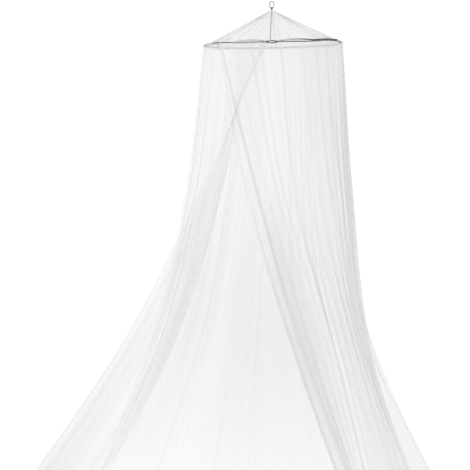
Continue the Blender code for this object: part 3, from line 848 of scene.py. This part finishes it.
def net_width(name, start, end, seam_layers):
    """One width from angle to angle, with its hems, casing and seam laps."""
    free_start = start == STRANDS[0, 0]
    free_end = end == STRANDS[-1, 0]
    turned_start = EDGE_COLUMNS if free_start else 0
    turned_end = EDGE_COLUMNS if free_end else 0
    main = int(round((end - start) / COLUMN_ANGLE))
    columns = turned_start + main + turned_end
    rows = CASING_ROWS + CURTAIN_ROWS + FOOT_ROWS

    def placed(column, row):
        across = np.clip((column - turned_start) / main, 0.0, 1.0)
        angle = start + (end - start) * across
        top = heading_height(angle)
        down = np.clip((row - CASING_ROWS) / CURTAIN_ROWS, 0.0, 1.0) ** ROW_CROWDING
        casing = np.clip((CASING_ROWS - row) / CASING_ROWS, 0.0, 1.0) ** CASING_ROW_CROWDING
        foot = np.clip((row - CASING_ROWS - CURTAIN_ROWS) / FOOT_ROWS, 0.0, 1.0)
        fall = (top - HEM_Z) * down - (CASING_ROUND + CASING_DROP) * casing - FOOT_HEM * foot
        step = degree_span(angle, np.minimum(top, top - fall))

        back_start = np.clip((turned_start - column) / EDGE_COLUMNS, 0.0, 1.0)
        back_end = np.clip((column - turned_start - main) / EDGE_COLUMNS, 0.0, 1.0)
        turned_back = np.maximum(back_start, back_end)
        angle = angle + (back_start - back_end) * EDGE_HEM / step
        inward = LAYER_GAP * (foot > 0.0) + LAYER_GAP * (turned_back > 0.0)
        from_start = np.full_like(angle, np.inf) if free_start else (angle - start) * step
        if not free_end:
            angle = angle + ramp(across, LAP_FROM, 1.0) * SEAM_LAP / step
        past_end = np.full_like(angle, -np.inf) if free_end else (angle - end) * step
        inward = inward + LAYER_GAP * (1.0 - ramp(from_start, SEAM_LAP, 2.0 * SEAM_LAP))
        points = hang(angle, fall, inward)

        layers = layers_at(angle, points[:, 2], step)
        layers = layers * np.where(turned_back > 0.0, 1.0, pleat_share(points, columns) ** PLEAT_EVENNESS)
        hem = LEFT_HEM_LAYERS if free_start else RIGHT_HEM_LAYERS
        layers = layers + hem_layers(turned_back, points[:, 2], hem)
        layers = with_casing(layers * lap_share(from_start, past_end), angle, fall, points)
        layers = layers + seam_layers * np.exp(-(from_start / SEAM_LINE) ** 2)
        cloth = np.stack([column / columns * CUT_WIDTH, row / rows * CLOTH_LENGTH], -1)
        return points, layers, cloth

    sheet = grid_sheet(name, columns, rows, placed)
    sheet.data.materials.append(curtain_finish)
    return sheet


print("widths are cut", CUT_WIDTH, "by", CLOTH_LENGTH, "m")

# %% [markdown]
# ## The five widths
#
# The table lists the widths from the left free edge round the back to the right one, with their angles
# at the hoop. The seam at the front shows most, so it gets the most layers. One big sheet would look
# the same, but widths keep each piece light enough to redraw quickly. A helper files each finished
# piece in the frame.

# %% The five widths
# Each width: node, angle where it starts, angle where it ends, flat width, layers in its first seam.
WIDTHS = [
    ("net_left_front", 6.0, 90.0, 0.93, 0.0),
    ("net_left_back", 90.0, 178.0, 0.97, 0.05),
    ("net_right_back", 178.0, 264.0, 1.06, 0.05),
    ("net_right_side", 264.0, 360.0, 0.85, 0.05),
    ("net_front_overlap", 360.0, 413.7, 0.30, 0.2),
]


def dress(piece, slot_name, *nodes):
    """The piece takes the place of nodes of the construction model."""
    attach(piece, BODY)
    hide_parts(*nodes)
    print(piece.name, "has", len(piece.data.polygons), "faces")


for node_name, start, end, flat_width, seam_layers in WIDTHS:
    sheet = net_width(f"{node_name}_cloth", start, end, seam_layers)
    dress(sheet, "net_curtain", node_name)

# %% [markdown]
# ## Where the crown lies
#
# The crown is a shallow cone of the same net, from the sleeve down to the hoop. Eight tapes carry it.
# The net is straight along each tape and sags a little between two tapes, as a wet sheet does between
# clothes lines. The ring is a little off the hoop's middle, so the cone is not quite even, and the
# distance to the rim is worked out for each direction. A plain cone primitive would miss both.

# %% Where the crown lies
TAPES = 8
TAPE_FIRST_ANGLE = 3.7
CROWN_TOP_RADIUS = 0.0030
CROWN_TOP_Z = -0.0385
CROWN_RIM_RADIUS = 0.2900
CROWN_RIM_LIFT = 0.0035
CROWN_SAG = 0.0070
CROWN_PAST_RIM = 1.05


def tape_turn(number):
    """The direction of a tape from the ring's axis, in radians."""
    x, y, _ = hoop_spot(TAPE_FIRST_ANGLE + 360.0 * number / TAPES)
    return math.atan2(-x, -y) % (2.0 * math.pi)


TAPE_TURNS = np.array([tape_turn(number) for number in range(TAPES)])


def rim_towards(turn, rim=CROWN_RIM_RADIUS):
    """How far the rim is in one direction, and how high."""
    across, along = HOOP_X * np.cos(turn), HOOP_X * np.sin(turn)
    reach = -along + np.sqrt(rim ** 2 - across ** 2)
    return reach, HOOP_Z - HOOP_TILT * reach * np.sin(turn) + CROWN_RIM_LIFT


def gore_share(turn):
    """How far from one tape to the next a direction is, from 0 to 1."""
    offset = (np.asarray(turn)[..., None] - TAPE_TURNS) % (2.0 * math.pi)
    nearest = np.argmin(offset, axis=-1)
    sweep = (TAPE_TURNS[(nearest + 1) % TAPES] - TAPE_TURNS[nearest]) % (2.0 * math.pi)
    return np.take_along_axis(offset, nearest[..., None], -1)[..., 0] / sweep


def crown_height(turn, radius, across=0.0):
    """The cone's height, with the sag between tapes where across is more than 0."""
    reach, rim_z = rim_towards(turn)
    share = np.clip((radius - CROWN_TOP_RADIUS) / (reach - CROWN_TOP_RADIUS), 0.0, CROWN_PAST_RIM)
    belly = 4.0 * share * np.maximum(1.0 - share, 0.0) * np.sqrt(share)
    return CROWN_TOP_Z + (rim_z - CROWN_TOP_Z) * share - CROWN_SAG * belly * np.sin(np.pi * across) ** 2


print("the tapes point", np.degrees(TAPE_TURNS).round(1), "degrees from the front")

# %% [markdown]
# ## The crown
#
# The sheet is a grid once more, but its columns run from the middle outwards and its last column meets
# the first. A Weld modifier joins them. The net is gathered tight at the sleeve, so it is densest there
# and opens out towards the hoop. It lies double at the seams under the tapes, and its rim reaches the
# wire. The gathers are waves under a millimetre high, coarse and fine ones together.

# %% The crown
CROWN_COLUMNS = 960
CROWN_ROWS = 72
CROWN_RIM_SHORT = 0.0005
CROWN_ROW_CROWDING = 1.25
CROWN_GATHERS = 150
GATHER_SWAY = (2.0, 9.0)
FINE_GATHERS = (0.6, 2.3)
GATHER_DEPTH = 0.0009
GATHERS_GROW = (0.02, 0.25)
GATHERS_DEEPEN = (0.6, 1.0)
GATHERS_INNER_DEPTH = 0.45
CROWN_LAYERS_AT_SLEEVE = 0.9
SLEEVE_REACH = 0.035
CROWN_LAYERS_AT_SEAM = 0.9
CROWN_SEAM_WIDTH = 0.0035
CROWN_LAYERS_AT_RIM = 0.25
CROWN_RIM_FROM = 0.9
CROWN_UNEVENNESS = 0.12
CROWN_UNEVEN_TIMES = 31.0
CROWN_UNEVEN_SWAY = (2.0, 5.0)
CROWN_CLOTH_STRETCH = 1.12
CROWN_CLOTH_MIDDLE = 0.35
WELD_DISTANCE = 0.00002


def swayed(turn, times_round, sway, sways_round):
    """The phase of waves that are spaced unevenly on the way round."""
    return times_round * turn + sway * np.sin(sways_round * turn)


def crown_placed(column, row):
    """Where a point of the crown lies, its layers and its place on the uncut cloth."""
    turn = 2.0 * np.pi * column / CROWN_COLUMNS
    share = (row / CROWN_ROWS) ** CROWN_ROW_CROWDING
    across = gore_share(turn)
    reach, _ = rim_towards(turn, HOOP_RADIUS - CROWN_RIM_SHORT)
    radius = CROWN_TOP_RADIUS + (reach - CROWN_TOP_RADIUS) * share
    coarse = np.sin(swayed(turn, CROWN_GATHERS, *GATHER_SWAY))
    fine = FINE_GATHERS[0] * np.sin(FINE_GATHERS[1] * CROWN_GATHERS * turn)
    outer = GATHERS_INNER_DEPTH + (1.0 - GATHERS_INNER_DEPTH) * ramp(share, *GATHERS_DEEPEN)
    gathers = GATHER_DEPTH * (coarse + fine) * ramp(share, *GATHERS_GROW) * outer
    height = crown_height(turn, radius, across) + gathers
    points = np.stack([-radius * np.sin(turn), -radius * np.cos(turn), height], -1)

    from_seam = np.minimum(across, 1.0 - across) * radius * 2.0 * np.pi / TAPES
    layers = 1.0 + CROWN_LAYERS_AT_SLEEVE * np.exp(-radius / SLEEVE_REACH)
    layers = layers + CROWN_LAYERS_AT_SEAM * np.exp(-(from_seam / CROWN_SEAM_WIDTH) ** 2)
    layers = layers + CROWN_LAYERS_AT_RIM * ramp(share, CROWN_RIM_FROM, 1.0)
    uneven = np.sin(swayed(turn, CROWN_UNEVEN_TIMES, *CROWN_UNEVEN_SWAY))
    layers = layers * (1.0 + CROWN_UNEVENNESS * uneven)
    flat = np.stack([-radius * np.sin(turn), radius * np.cos(turn)], -1)
    return points, layers, flat * CROWN_CLOTH_STRETCH + CROWN_CLOTH_MIDDLE


crown = grid_sheet("crown_cloth", CROWN_COLUMNS, CROWN_ROWS, crown_placed)
weld = crown.modifiers.new("Join the ends", "WELD")
weld.merge_threshold = WELD_DISTANCE
bpy.ops.object.modifier_apply(modifier=weld.name)
crown.data.materials.append(crown_finish)
dress(crown, "net_crown", *[f"crown_gore_{number + 1}" for number in range(TAPES)])

# %% [markdown]
# ## A helper for round wire
#
# The hoop, the ring and the cord are all round wires along a line. A curve with a round bevel gives
# that at once, and Convert makes it a mesh when it is right. Extruding a circle from point to point by
# hand would give the same, with more work at every bend.

# %% Wire helper
SHARP_FROM = math.radians(40.0)


def wire_piece(name, points, diameter, material, closed=False, roundness=6):
    """A round wire through the points, as a mesh."""
    deselect()
    curve = bpy.data.curves.new(name, "CURVE")
    curve.dimensions = "3D"
    curve.bevel_depth = 0.5 * diameter
    curve.bevel_resolution = roundness
    curve.use_fill_caps = True
    spline = curve.splines.new("POLY")
    spline.points.add(len(points) - 1)
    for spot, point in zip(spline.points, points):
        spot.co = (*point, 1.0)
    spline.use_cyclic_u = closed
    piece = bpy.data.objects.new(name, curve)
    bpy.context.scene.collection.objects.link(piece)
    piece.select_set(True)
    bpy.context.view_layer.objects.active = piece
    bpy.ops.object.convert(target="MESH")
    piece = bpy.context.object
    bpy.ops.object.shade_smooth_by_angle(angle=SHARP_FROM)
    piece.data.materials.clear()
    piece.data.materials.append(material)
    print(name, "follows", len(points), "points")
    return piece


print("an edge counts as sharp from", round(math.degrees(SHARP_FROM)), "degrees")

# %% [markdown]
# ## Metal finishes
#
# Three metals are seen. The hoop's wire has a dark brown coating, which is not metallic. The ring and
# the sleeve are dull steel, and the sleeve is the darker one. Plain colours would look like plastic, so
# a coarse noise mottles each colour and a fine one breaks up the shine.

# %% Metal finishes
FINE_TO_COARSE = 14.0
SMOOTHEST_STEP = -0.10
ROUGHNESS_RANGE = 0.22
METAL_BUMP = 0.12
METAL_BUMP_HEIGHT = 0.0002


def metal_finish(name, dark, light, metallic, roughness, grain):
    material, tree, shader = new_material(name, light, roughness, metallic)
    place = node(tree, "ShaderNodeTexCoord").outputs["Object"]
    mottle = noise(tree, place, grain, detail=4.0)
    fine = noise(tree, place, grain * FINE_TO_COARSE, detail=3.0)
    tree.links.new(tint(tree, mottle, dark, light), shader.inputs["Base Color"])
    rough = maths(tree, "ADD", roughness + SMOOTHEST_STEP, maths(tree, "MULTIPLY", fine, ROUGHNESS_RANGE))
    tree.links.new(rough, shader.inputs["Roughness"])
    bumped(tree, shader, fine, METAL_BUMP, METAL_BUMP_HEIGHT)
    return material


hoop_finish = metal_finish("hoop_coating", (0.014, 0.011, 0.009), (0.034, 0.028, 0.024),
                           metallic=0.0, roughness=0.60, grain=60.0)
ring_finish = metal_finish("ring_dull_steel", (0.10, 0.095, 0.09), (0.26, 0.25, 0.24),
                           metallic=0.90, roughness=0.38, grain=240.0)
sleeve_finish = metal_finish("sleeve_dark_steel", (0.05, 0.047, 0.043), (0.15, 0.14, 0.13),
                             metallic=0.85, roughness=0.46, grain=300.0)

# %% [markdown]
# ## The line of the hoop's wire
#
# The hoop is one length of spring wire, longer than once round, so its two ends lap at the front for
# 104 degrees. They cross there once. Beyond the crossing the right end climbs onto the main wire and
# rests on it, and the left end bows up beside it. Arcs could be joined up by hand, but a function that
# gives the line at each angle keeps the bends smooth where they meet.

# %% The hoop's line
LAP_LEFT_END = 36.0
LAP_RIGHT_END = -68.0
CROSSING_RIGHT = -3.1
CROSSING_LEFT = 7.6
CROSSING_RISE = 0.0045
CROSSING_INSET = 0.00295
BOW_RISE = 0.0105
BOW_ROUNDNESS = 0.7
BOW_RIGHT_END = -33.0
REST_LIFT = 0.0053
REST_LIFT_BY = 0.3
REST_INWARD_UNTIL = 0.9


def tail_offset(front):
    """How far a lapped end stands in from the wire it lies beside, and how far above it."""
    if front > 0.0:
        way = min(1.0, (front - CROSSING_LEFT) / (LAP_LEFT_END - CROSSING_LEFT))
        return 2.0 * CROSSING_INSET, BOW_RISE * math.sin(math.pi * way) ** BOW_ROUNDNESS
    way = min(1.0, (CROSSING_RIGHT - front) / (CROSSING_RIGHT - BOW_RIGHT_END))
    rise = (BOW_RISE - REST_LIFT) * math.sin(math.pi * way) ** BOW_ROUNDNESS
    inward = 1.0 - ramp(way, REST_LIFT_BY, REST_INWARD_UNTIL)
    return 2.0 * CROSSING_INSET * inward, REST_LIFT * ramp(way, 0.0, REST_LIFT_BY) + rise


def hoop_wire_spot(angle):
    """The wire's middle line, from the right end once round to the left end."""
    first_end = angle < 180.0
    front = angle if first_end else angle - 360.0
    side = 1.0 if first_end else -1.0
    on_tail = front < CROSSING_RIGHT if first_end else front > CROSSING_LEFT
    if on_tail:
        inset, lift = tail_offset(front)
    else:
        share = (CROSSING_LEFT - front) / (CROSSING_LEFT - CROSSING_RIGHT)
        turn = math.pi * min(1.0, max(0.0, share))
        inset = CROSSING_INSET * (1.0 - side * math.cos(turn))
        lift = side * CROSSING_RISE * math.sin(turn)
    return tuple(float(part) for part in hoop_spot(angle, HOOP_RADIUS - inset, lift - lap_sag(front)))


print("the ends lap over", LAP_LEFT_END - LAP_RIGHT_END, "degrees")

# %% [markdown]
# ## The hoop
#
# One point for each degree keeps the circle round, even when it is looked at closely. The wire is
# 5 mm thick, which is stiff enough to stay flat under the weight of the net.

# %% The hoop
HOOP_STEP = 1.0

hoop_angles = np.arange(LAP_RIGHT_END, 360.0 + LAP_LEFT_END + 0.5 * HOOP_STEP, HOOP_STEP)
hoop_line = [hoop_wire_spot(float(angle)) for angle in hoop_angles]
hoop_wire = wire_piece("hoop_wire", hoop_line, HOOP_WIRE, hoop_finish)
dress(hoop_wire, "hoop_wire", "hoop")

# %% [markdown]
# ## The hanging ring
#
# The ring is an oval of bent round wire, two half circles joined by straight sides. On the real one a
# weld closes it. Here the curve is closed, so it has no ends at all.

# %% The ring
RING_WIRE = 0.0030
RING_WIDTH = 0.0220
RING_HEIGHT = 0.0320
RING_ARC_STEPS = 32

ring_radius = 0.5 * (RING_WIDTH - RING_WIRE)
ring_top = 0.5 * RING_WIRE
ring_bottom = ring_top - (RING_HEIGHT - RING_WIRE)
ring_line = []
for centre, arc_start in ((ring_top - ring_radius, 0.0), (ring_bottom + ring_radius, math.pi)):
    for arc_step in range(RING_ARC_STEPS + 1):
        turn = arc_start + math.pi * arc_step / RING_ARC_STEPS
        ring_line.append((ring_radius * math.cos(turn), 0.0, centre + ring_radius * math.sin(turn)))
ring = wire_piece("ring_wire", ring_line, RING_WIRE, ring_finish, closed=True)
dress(ring, "ring_steel", "hanging_ring")

# %% [markdown]
# ## The sleeve
#
# The sleeve is a short piece of tube over the ring's lower bend and the tape ends. It is squeezed twice
# in a tool, so that it grips them. It starts as a cylinder with a small bevel on its rims. Bisect cuts
# nine rings of edges for each squeeze, and then Resize presses every ring in, more from front to back
# than from side to side. The cuts all come first, because a cut through a wall that is already pressed
# would start too far in.

# %% The sleeve
SLEEVE_RADIUS = 0.0045
SLEEVE_SIDES = 48
SLEEVE_TOP = -0.0250
SLEEVE_BOTTOM = -0.0352
RIM_BEVEL = 0.0005
RIM_BEVEL_STEPS = 3
SLEEVE_SHARP_FROM = math.radians(45.0)
CRIMPS = (-0.0283, -0.0322)
CRIMP_RINGS = 9
CRIMP_REACH = 0.0018
CRIMP_HALF_HEIGHT = 0.0011
CRIMP_DEPTH = 0.0008
CRIMP_SIDE_SHARE = 0.35
SAME_LEVEL = 0.000001


def select_ring(piece, level):
    """The points at one height, as a click on an edge loop would select them."""
    bpy.ops.mesh.select_all(action="DESELECT")
    bpy.ops.object.mode_set(mode="OBJECT")
    for point in piece.data.vertices:
        point.select = abs(point.co.z - level) < SAME_LEVEL
    bpy.ops.object.mode_set(mode="EDIT")


deselect()
bpy.ops.mesh.primitive_cylinder_add(vertices=SLEEVE_SIDES, radius=SLEEVE_RADIUS,
                                    depth=SLEEVE_TOP - SLEEVE_BOTTOM,
                                    location=(0, 0, 0.5 * (SLEEVE_TOP + SLEEVE_BOTTOM)))
sleeve = bpy.context.object
sleeve.name = sleeve.data.name = "crimped_sleeve"
bpy.ops.object.transform_apply(location=True, rotation=True, scale=True)
bevel = sleeve.modifiers.new("Worn rims", "BEVEL")
bevel.width = RIM_BEVEL
bevel.segments = RIM_BEVEL_STEPS
bpy.ops.object.modifier_apply(modifier=bevel.name)

crimp_rings = [(crimp + CRIMP_REACH * float(share), crimp) for crimp in CRIMPS
               for share in np.linspace(-1.0, 1.0, CRIMP_RINGS)]
bpy.ops.object.mode_set(mode="EDIT")
bpy.ops.mesh.select_mode(type="VERT")
for level, _ in crimp_rings:
    bpy.ops.mesh.select_all(action="SELECT")
    bpy.ops.mesh.bisect(plane_co=(0, 0, level), plane_no=(0, 0, 1))
for level, crimp in crimp_rings:
    select_ring(sleeve, level)
    dent = CRIMP_DEPTH / SLEEVE_RADIUS * math.exp(-((level - crimp) / CRIMP_HALF_HEIGHT) ** 2)
    bpy.ops.transform.resize(value=(1.0 - CRIMP_SIDE_SHARE * dent, 1.0 - dent, 1.0),
                             center_override=(0, 0, level))
bpy.ops.object.mode_set(mode="OBJECT")
bpy.ops.object.shade_smooth_by_angle(angle=SLEEVE_SHARP_FROM)
sleeve.data.materials.append(sleeve_finish)
dress(sleeve, "ring_steel", "crimp_sleeve")

# %% [markdown]
# ## The tapes' finish
#
# A twill tape shows slanting ribs that zigzag across its width. A sine of the distance along the tape
# gives straight ribs, and adding a zigzag of the distance across it makes them slant to and fro. Both
# are in radians for each metre. The tape lets some light through, so it has layers, as the net has.

# %% The tapes' finish
TAPE_COVER = 0.22
RIBS_ALONG = 5200.0
RIBS_ACROSS = 2600.0
ZIGZAG_WIDTH = 0.00125
RIB_BUMP = 0.5
RIB_HEIGHT = 0.0003


def tape_material():
    material, tree, shader = new_material("tape_weave", (0.60, 0.60, 0.59), roughness=0.8)
    layers = node(tree, "ShaderNodeAttribute", {"attribute_name": "layers"}).outputs["Fac"]
    clear = maths(tree, "POWER", 1.0 - TAPE_COVER, layers)
    tree.links.new(maths(tree, "SUBTRACT", 1.0, clear), shader.inputs["Alpha"])
    ribbon = node(tree, "ShaderNodeUVMap", {"uv_map": "cloth"}).outputs["UV"]
    split = node(tree, "ShaderNodeSeparateXYZ", Vector=ribbon)
    zigzag = maths(tree, "PINGPONG", split.outputs["X"], ZIGZAG_WIDTH)
    slant = maths(tree, "ADD", maths(tree, "MULTIPLY", split.outputs["Y"], RIBS_ALONG),
                  maths(tree, "MULTIPLY", zigzag, RIBS_ACROSS))
    rib = maths(tree, "ADD", 0.5, maths(tree, "MULTIPLY", maths(tree, "SINE", slant), 0.5))
    tree.links.new(tint(tree, rib, (0.43, 0.43, 0.42), (0.62, 0.62, 0.61)), shader.inputs["Base Color"])
    bumped(tree, shader, rib, RIB_BUMP, RIB_HEIGHT)
    return material


tape_finish = tape_material()

# %% [markdown]
# ## The line of a tape
#
# Each tape comes out of the sleeve, lies on a seam of the crown and goes round the wire, where its end
# is sewn back on itself. Its line is drawn in an upright plane, as distances out from the middle and
# heights. Most loops are snug. Two are wide, because they go round both lapped wires.

# %% The line of a tape
TAPE_THICKNESS = 0.0008
TAPE_END_RADIUS = 0.00288
TAPE_IN_SLEEVE = 0.0040
TAPE_BELOW_SLEEVE = 0.0007
TAPE_LIFT = 0.0016
TAPE_PAST_RIM = 0.0025
TAPE_SLOPE_STEPS = 44
TAPE_STEP_CROWDING = 1.3
TAPE_SLOPE_SHARE = 0.95
TAPE_LOOP_STEPS = 26
TAPE_LOOP_START = math.radians(100.0)
TAPE_LOOP_SWEEP = math.radians(270.0)
LOOP_ROOM = 0.0006
SNUG = 0.5 * HOOP_WIRE + LOOP_ROOM + 0.5 * TAPE_THICKNESS
# Each loop: how far inward of the wire and above it its middle is, half its width, half its height.
SNUG_LOOP = (0.0, 0.0, SNUG, SNUG)
WIDE_LOOPS = {0: (0.00295, 0.0, 0.0070, 0.0090), 7: (0.0, 0.00265, 0.0044, 0.0066)}


def tape_line(number):
    """The direction of a tape, and its middle line as distances out and heights."""
    turn = tape_turn(number)
    reach, _ = rim_towards(turn)
    line = [(TAPE_END_RADIUS, SLEEVE_BOTTOM + lift) for lift in (TAPE_IN_SLEEVE, -TAPE_BELOW_SLEEVE)]
    for step in range(1, TAPE_SLOPE_STEPS + 1):
        share = TAPE_SLOPE_SHARE * (step / TAPE_SLOPE_STEPS) ** TAPE_STEP_CROWDING
        out = TAPE_END_RADIUS + share * (reach - TAPE_END_RADIUS)
        line.append((out, float(crown_height(turn, out)) + TAPE_LIFT))
    line.append((reach + TAPE_PAST_RIM, float(crown_height(turn, reach)) + TAPE_LIFT))

    angle = TAPE_FIRST_ANGLE + 360.0 * number / TAPES
    x, y, z = hoop_spot(angle)
    inward, up, half_width, half_height = WIDE_LOOPS.get(number, SNUG_LOOP)
    wire_out = math.hypot(x, y) - inward
    wire_z = float(z - lap_sag(angle)) + up
    for step in range(TAPE_LOOP_STEPS + 1):
        around = TAPE_LOOP_START - TAPE_LOOP_SWEEP * step / TAPE_LOOP_STEPS
        line.append((wire_out + half_width * math.cos(around), wire_z + half_height * math.sin(around)))
    return turn, np.array(line)


print("tape 1 runs through", len(tape_line(0)[1]), "points")

# %% [markdown]
# ## The tapes
#
# All eight are made by one function. The ribbon is a grid once more, narrow in the sleeve and 5 mm wide
# from there on, with a slight wave so that it doesn't look like a ruler. Solidify gives the thickness.
# The tapes at the back look thinner because they are seen through net, and the front one is folded
# several times, so each has layers of its own.

# %% The tapes
TAPE_WIDTH = 0.0050
TAPE_END_WIDTH = 0.0015
TAPE_WIDE_FROM = 0.0200
TAPE_COLUMNS = 6
TAPE_WAVE = 0.00025
TAPE_WAVES = 210.0
TAPE_WAVES_FROM = (0.03, 0.08)
TAPE_LAYERS = (4.0, 0.9, 0.9, 0.5, 0.4, 0.5, 0.9, 0.9)


def lengths_along(line):
    """The distance from the line's start to each of its points."""
    return np.concatenate([[0.0], np.cumsum(np.linalg.norm(np.diff(line, axis=0), axis=1))])


def tape_piece(number):
    """One tape's ribbon along its line."""
    turn, line = tape_line(number)
    lengths = lengths_along(line)

    def placed(column, row):
        index = row.astype(int)
        out, height = line[index, 0], line[index, 1]
        wide = TAPE_END_WIDTH + (TAPE_WIDTH - TAPE_END_WIDTH) * ramp(out, TAPE_END_RADIUS, TAPE_WIDE_FROM)
        side = (column / TAPE_COLUMNS - 0.5) * wide
        x = -out * math.sin(turn) + side * math.cos(turn)
        y = -out * math.cos(turn) - side * math.sin(turn)
        wave = TAPE_WAVE * np.sin(lengths[index] * TAPE_WAVES + number)
        height = height + wave * ramp(out, *TAPE_WAVES_FROM)
        cloth = np.stack([column / TAPE_COLUMNS * wide, lengths[index]], -1)
        return np.stack([x, y, height], -1), np.full_like(x, TAPE_LAYERS[number]), cloth

    tape = grid_sheet(f"tape_{number + 1}_ribbon", TAPE_COLUMNS, len(line) - 1, placed)
    thick = tape.modifiers.new("Thickness", "SOLIDIFY")
    thick.thickness = TAPE_THICKNESS
    thick.offset = 0.0
    bpy.ops.object.modifier_apply(modifier=thick.name)
    bpy.ops.object.shade_smooth_by_angle(angle=SHARP_FROM)
    tape.data.materials.append(tape_finish)
    return tape


for number in range(TAPES):
    dress(tape_piece(number), "tape", f"tape_{number + 1}")

# %% [markdown]
# ## The cord's finish
#
# The tie is soft cotton cord, a little darker than the tapes. Its finish is a fine noise that stands
# for the fibres, in the colour and as a slight bump. The twist of the cord is left to its shape.

# %% The cord's finish
FIBRES_PER_METRE = 2600.0
FIBRE_BUMP = 0.4
FIBRE_HEIGHT = 0.0002

cord_finish, tree, shader = new_material("cotton_cord", (0.42, 0.41, 0.38), roughness=0.9)
place = node(tree, "ShaderNodeTexCoord").outputs["Object"]
fibre = noise(tree, place, FIBRES_PER_METRE, detail=3.0)
tree.links.new(tint(tree, fibre, (0.34, 0.33, 0.31), (0.50, 0.49, 0.46)), shader.inputs["Base Color"])
bumped(tree, shader, fibre, FIBRE_BUMP, FIBRE_HEIGHT)

# %% [markdown]
# ## The line of the edge tie
#
# A short cord is looped round the wire at the left. It ties the free edge up when the canopy is not in
# use. Its line has three parts: one hanging end, once round the wire as a steep screw, and the other
# hanging end. Each point is given by how far it is inward of the wire, above it and along it.

# %% The tie's line
TIE_CORD = 0.0024
TIE_ANGLE = 55.5
TIE_PITCH = 0.0056
TIE_ROOM = 0.0005
TIE_LOOP_RADIUS = 0.5 * (HOOP_WIRE + TIE_CORD) + TIE_ROOM
# Each hanging end: side, length, how far it swings inward and sideways.
TIE_ENDS = [
    (-1.0, 0.030, 0.002, 0.002),
    (1.0, 0.022, 0.001, 0.003),
]
TIE_LOOP_STEPS = 60
TIE_TAIL_STEPS = 36


def tie_spot(inward, lift, along):
    angle = TIE_ANGLE + along * math.degrees(1.0 / HOOP_RADIUS)
    return [float(part) for part in hoop_spot(angle, HOOP_RADIUS - inward, lift)]


def hanging_end(side, length, inward, sideways):
    """The points of one end, from the loop downwards."""
    spots = []
    for share in np.arange(1, TIE_TAIL_STEPS + 1) / TIE_TAIL_STEPS:
        along = side * (0.5 * TIE_PITCH + sideways * share)
        spots.append(tie_spot(TIE_LOOP_RADIUS + inward * share, -length * share, along))
    return spots


def loop_round_wire():
    """Once round the wire, and a little further along it all the while."""
    spots = []
    for share in np.arange(TIE_LOOP_STEPS + 1) / TIE_LOOP_STEPS:
        around = 2.0 * math.pi * share
        inward, lift = TIE_LOOP_RADIUS * math.cos(around), TIE_LOOP_RADIUS * math.sin(around)
        spots.append(tie_spot(inward, lift, TIE_PITCH * (share - 0.5)))
    return spots


first_end, last_end = (hanging_end(*row) for row in TIE_ENDS)
tie_line = np.array(first_end[::-1] + loop_round_wire() + last_end)
print("the tie's cord is", round(float(lengths_along(tie_line)[-1]) * 1000, 1), "mm long")

# %% [markdown]
# ## The edge tie
#
# The cord is laid from two yarns, so each yarn is a helix about the cord's own line. To place a helix,
# two directions square to the line are needed at every point. A small ball at each end is the knot
# that keeps the cord from fraying. Join makes one piece of the four.

# %% The edge tie
YARN = 0.00125
YARN_LAY = 0.0052
YARN_ROUNDNESS = 3
KNOT_RADIUS = 0.0021
KNOT_SMOOTHNESS = 3
NOT_ALONG_THE_CORD = (0.35, 0.80, 0.45)

forward = np.gradient(tie_line, axis=0)
forward /= np.linalg.norm(forward, axis=1)[:, None]
across_cord = np.cross(forward, np.array(NOT_ALONG_THE_CORD))
across_cord /= np.linalg.norm(across_cord, axis=1)[:, None]
square_to_both = np.cross(forward, across_cord)

pieces = []
for phase_start in (0.0, math.pi):
    phase = (2.0 * np.pi * lengths_along(tie_line) / YARN_LAY + phase_start)[:, None]
    outwards = np.cos(phase) * across_cord + np.sin(phase) * square_to_both
    helix = [tuple(spot) for spot in tie_line + 0.5 * (TIE_CORD - YARN) * outwards]
    pieces.append(wire_piece("tie_yarn", helix, YARN, cord_finish, roundness=YARN_ROUNDNESS))
for end in (0, -1):
    deselect()
    bpy.ops.mesh.primitive_ico_sphere_add(subdivisions=KNOT_SMOOTHNESS, radius=KNOT_RADIUS,
                                          location=tuple(tie_line[end]))
    bpy.ops.object.transform_apply(location=True, rotation=True, scale=True)
    bpy.ops.object.shade_smooth()
    bpy.context.object.data.materials.append(cord_finish)
    pieces.append(bpy.context.object)
deselect()
for piece in pieces:
    piece.select_set(True)
bpy.context.view_layer.objects.active = pieces[0]
bpy.ops.object.join()
tie = bpy.context.object
tie.name = tie.data.name = "edge_tie_cord"
dress(tie, "tie_cord", "edge_tie")
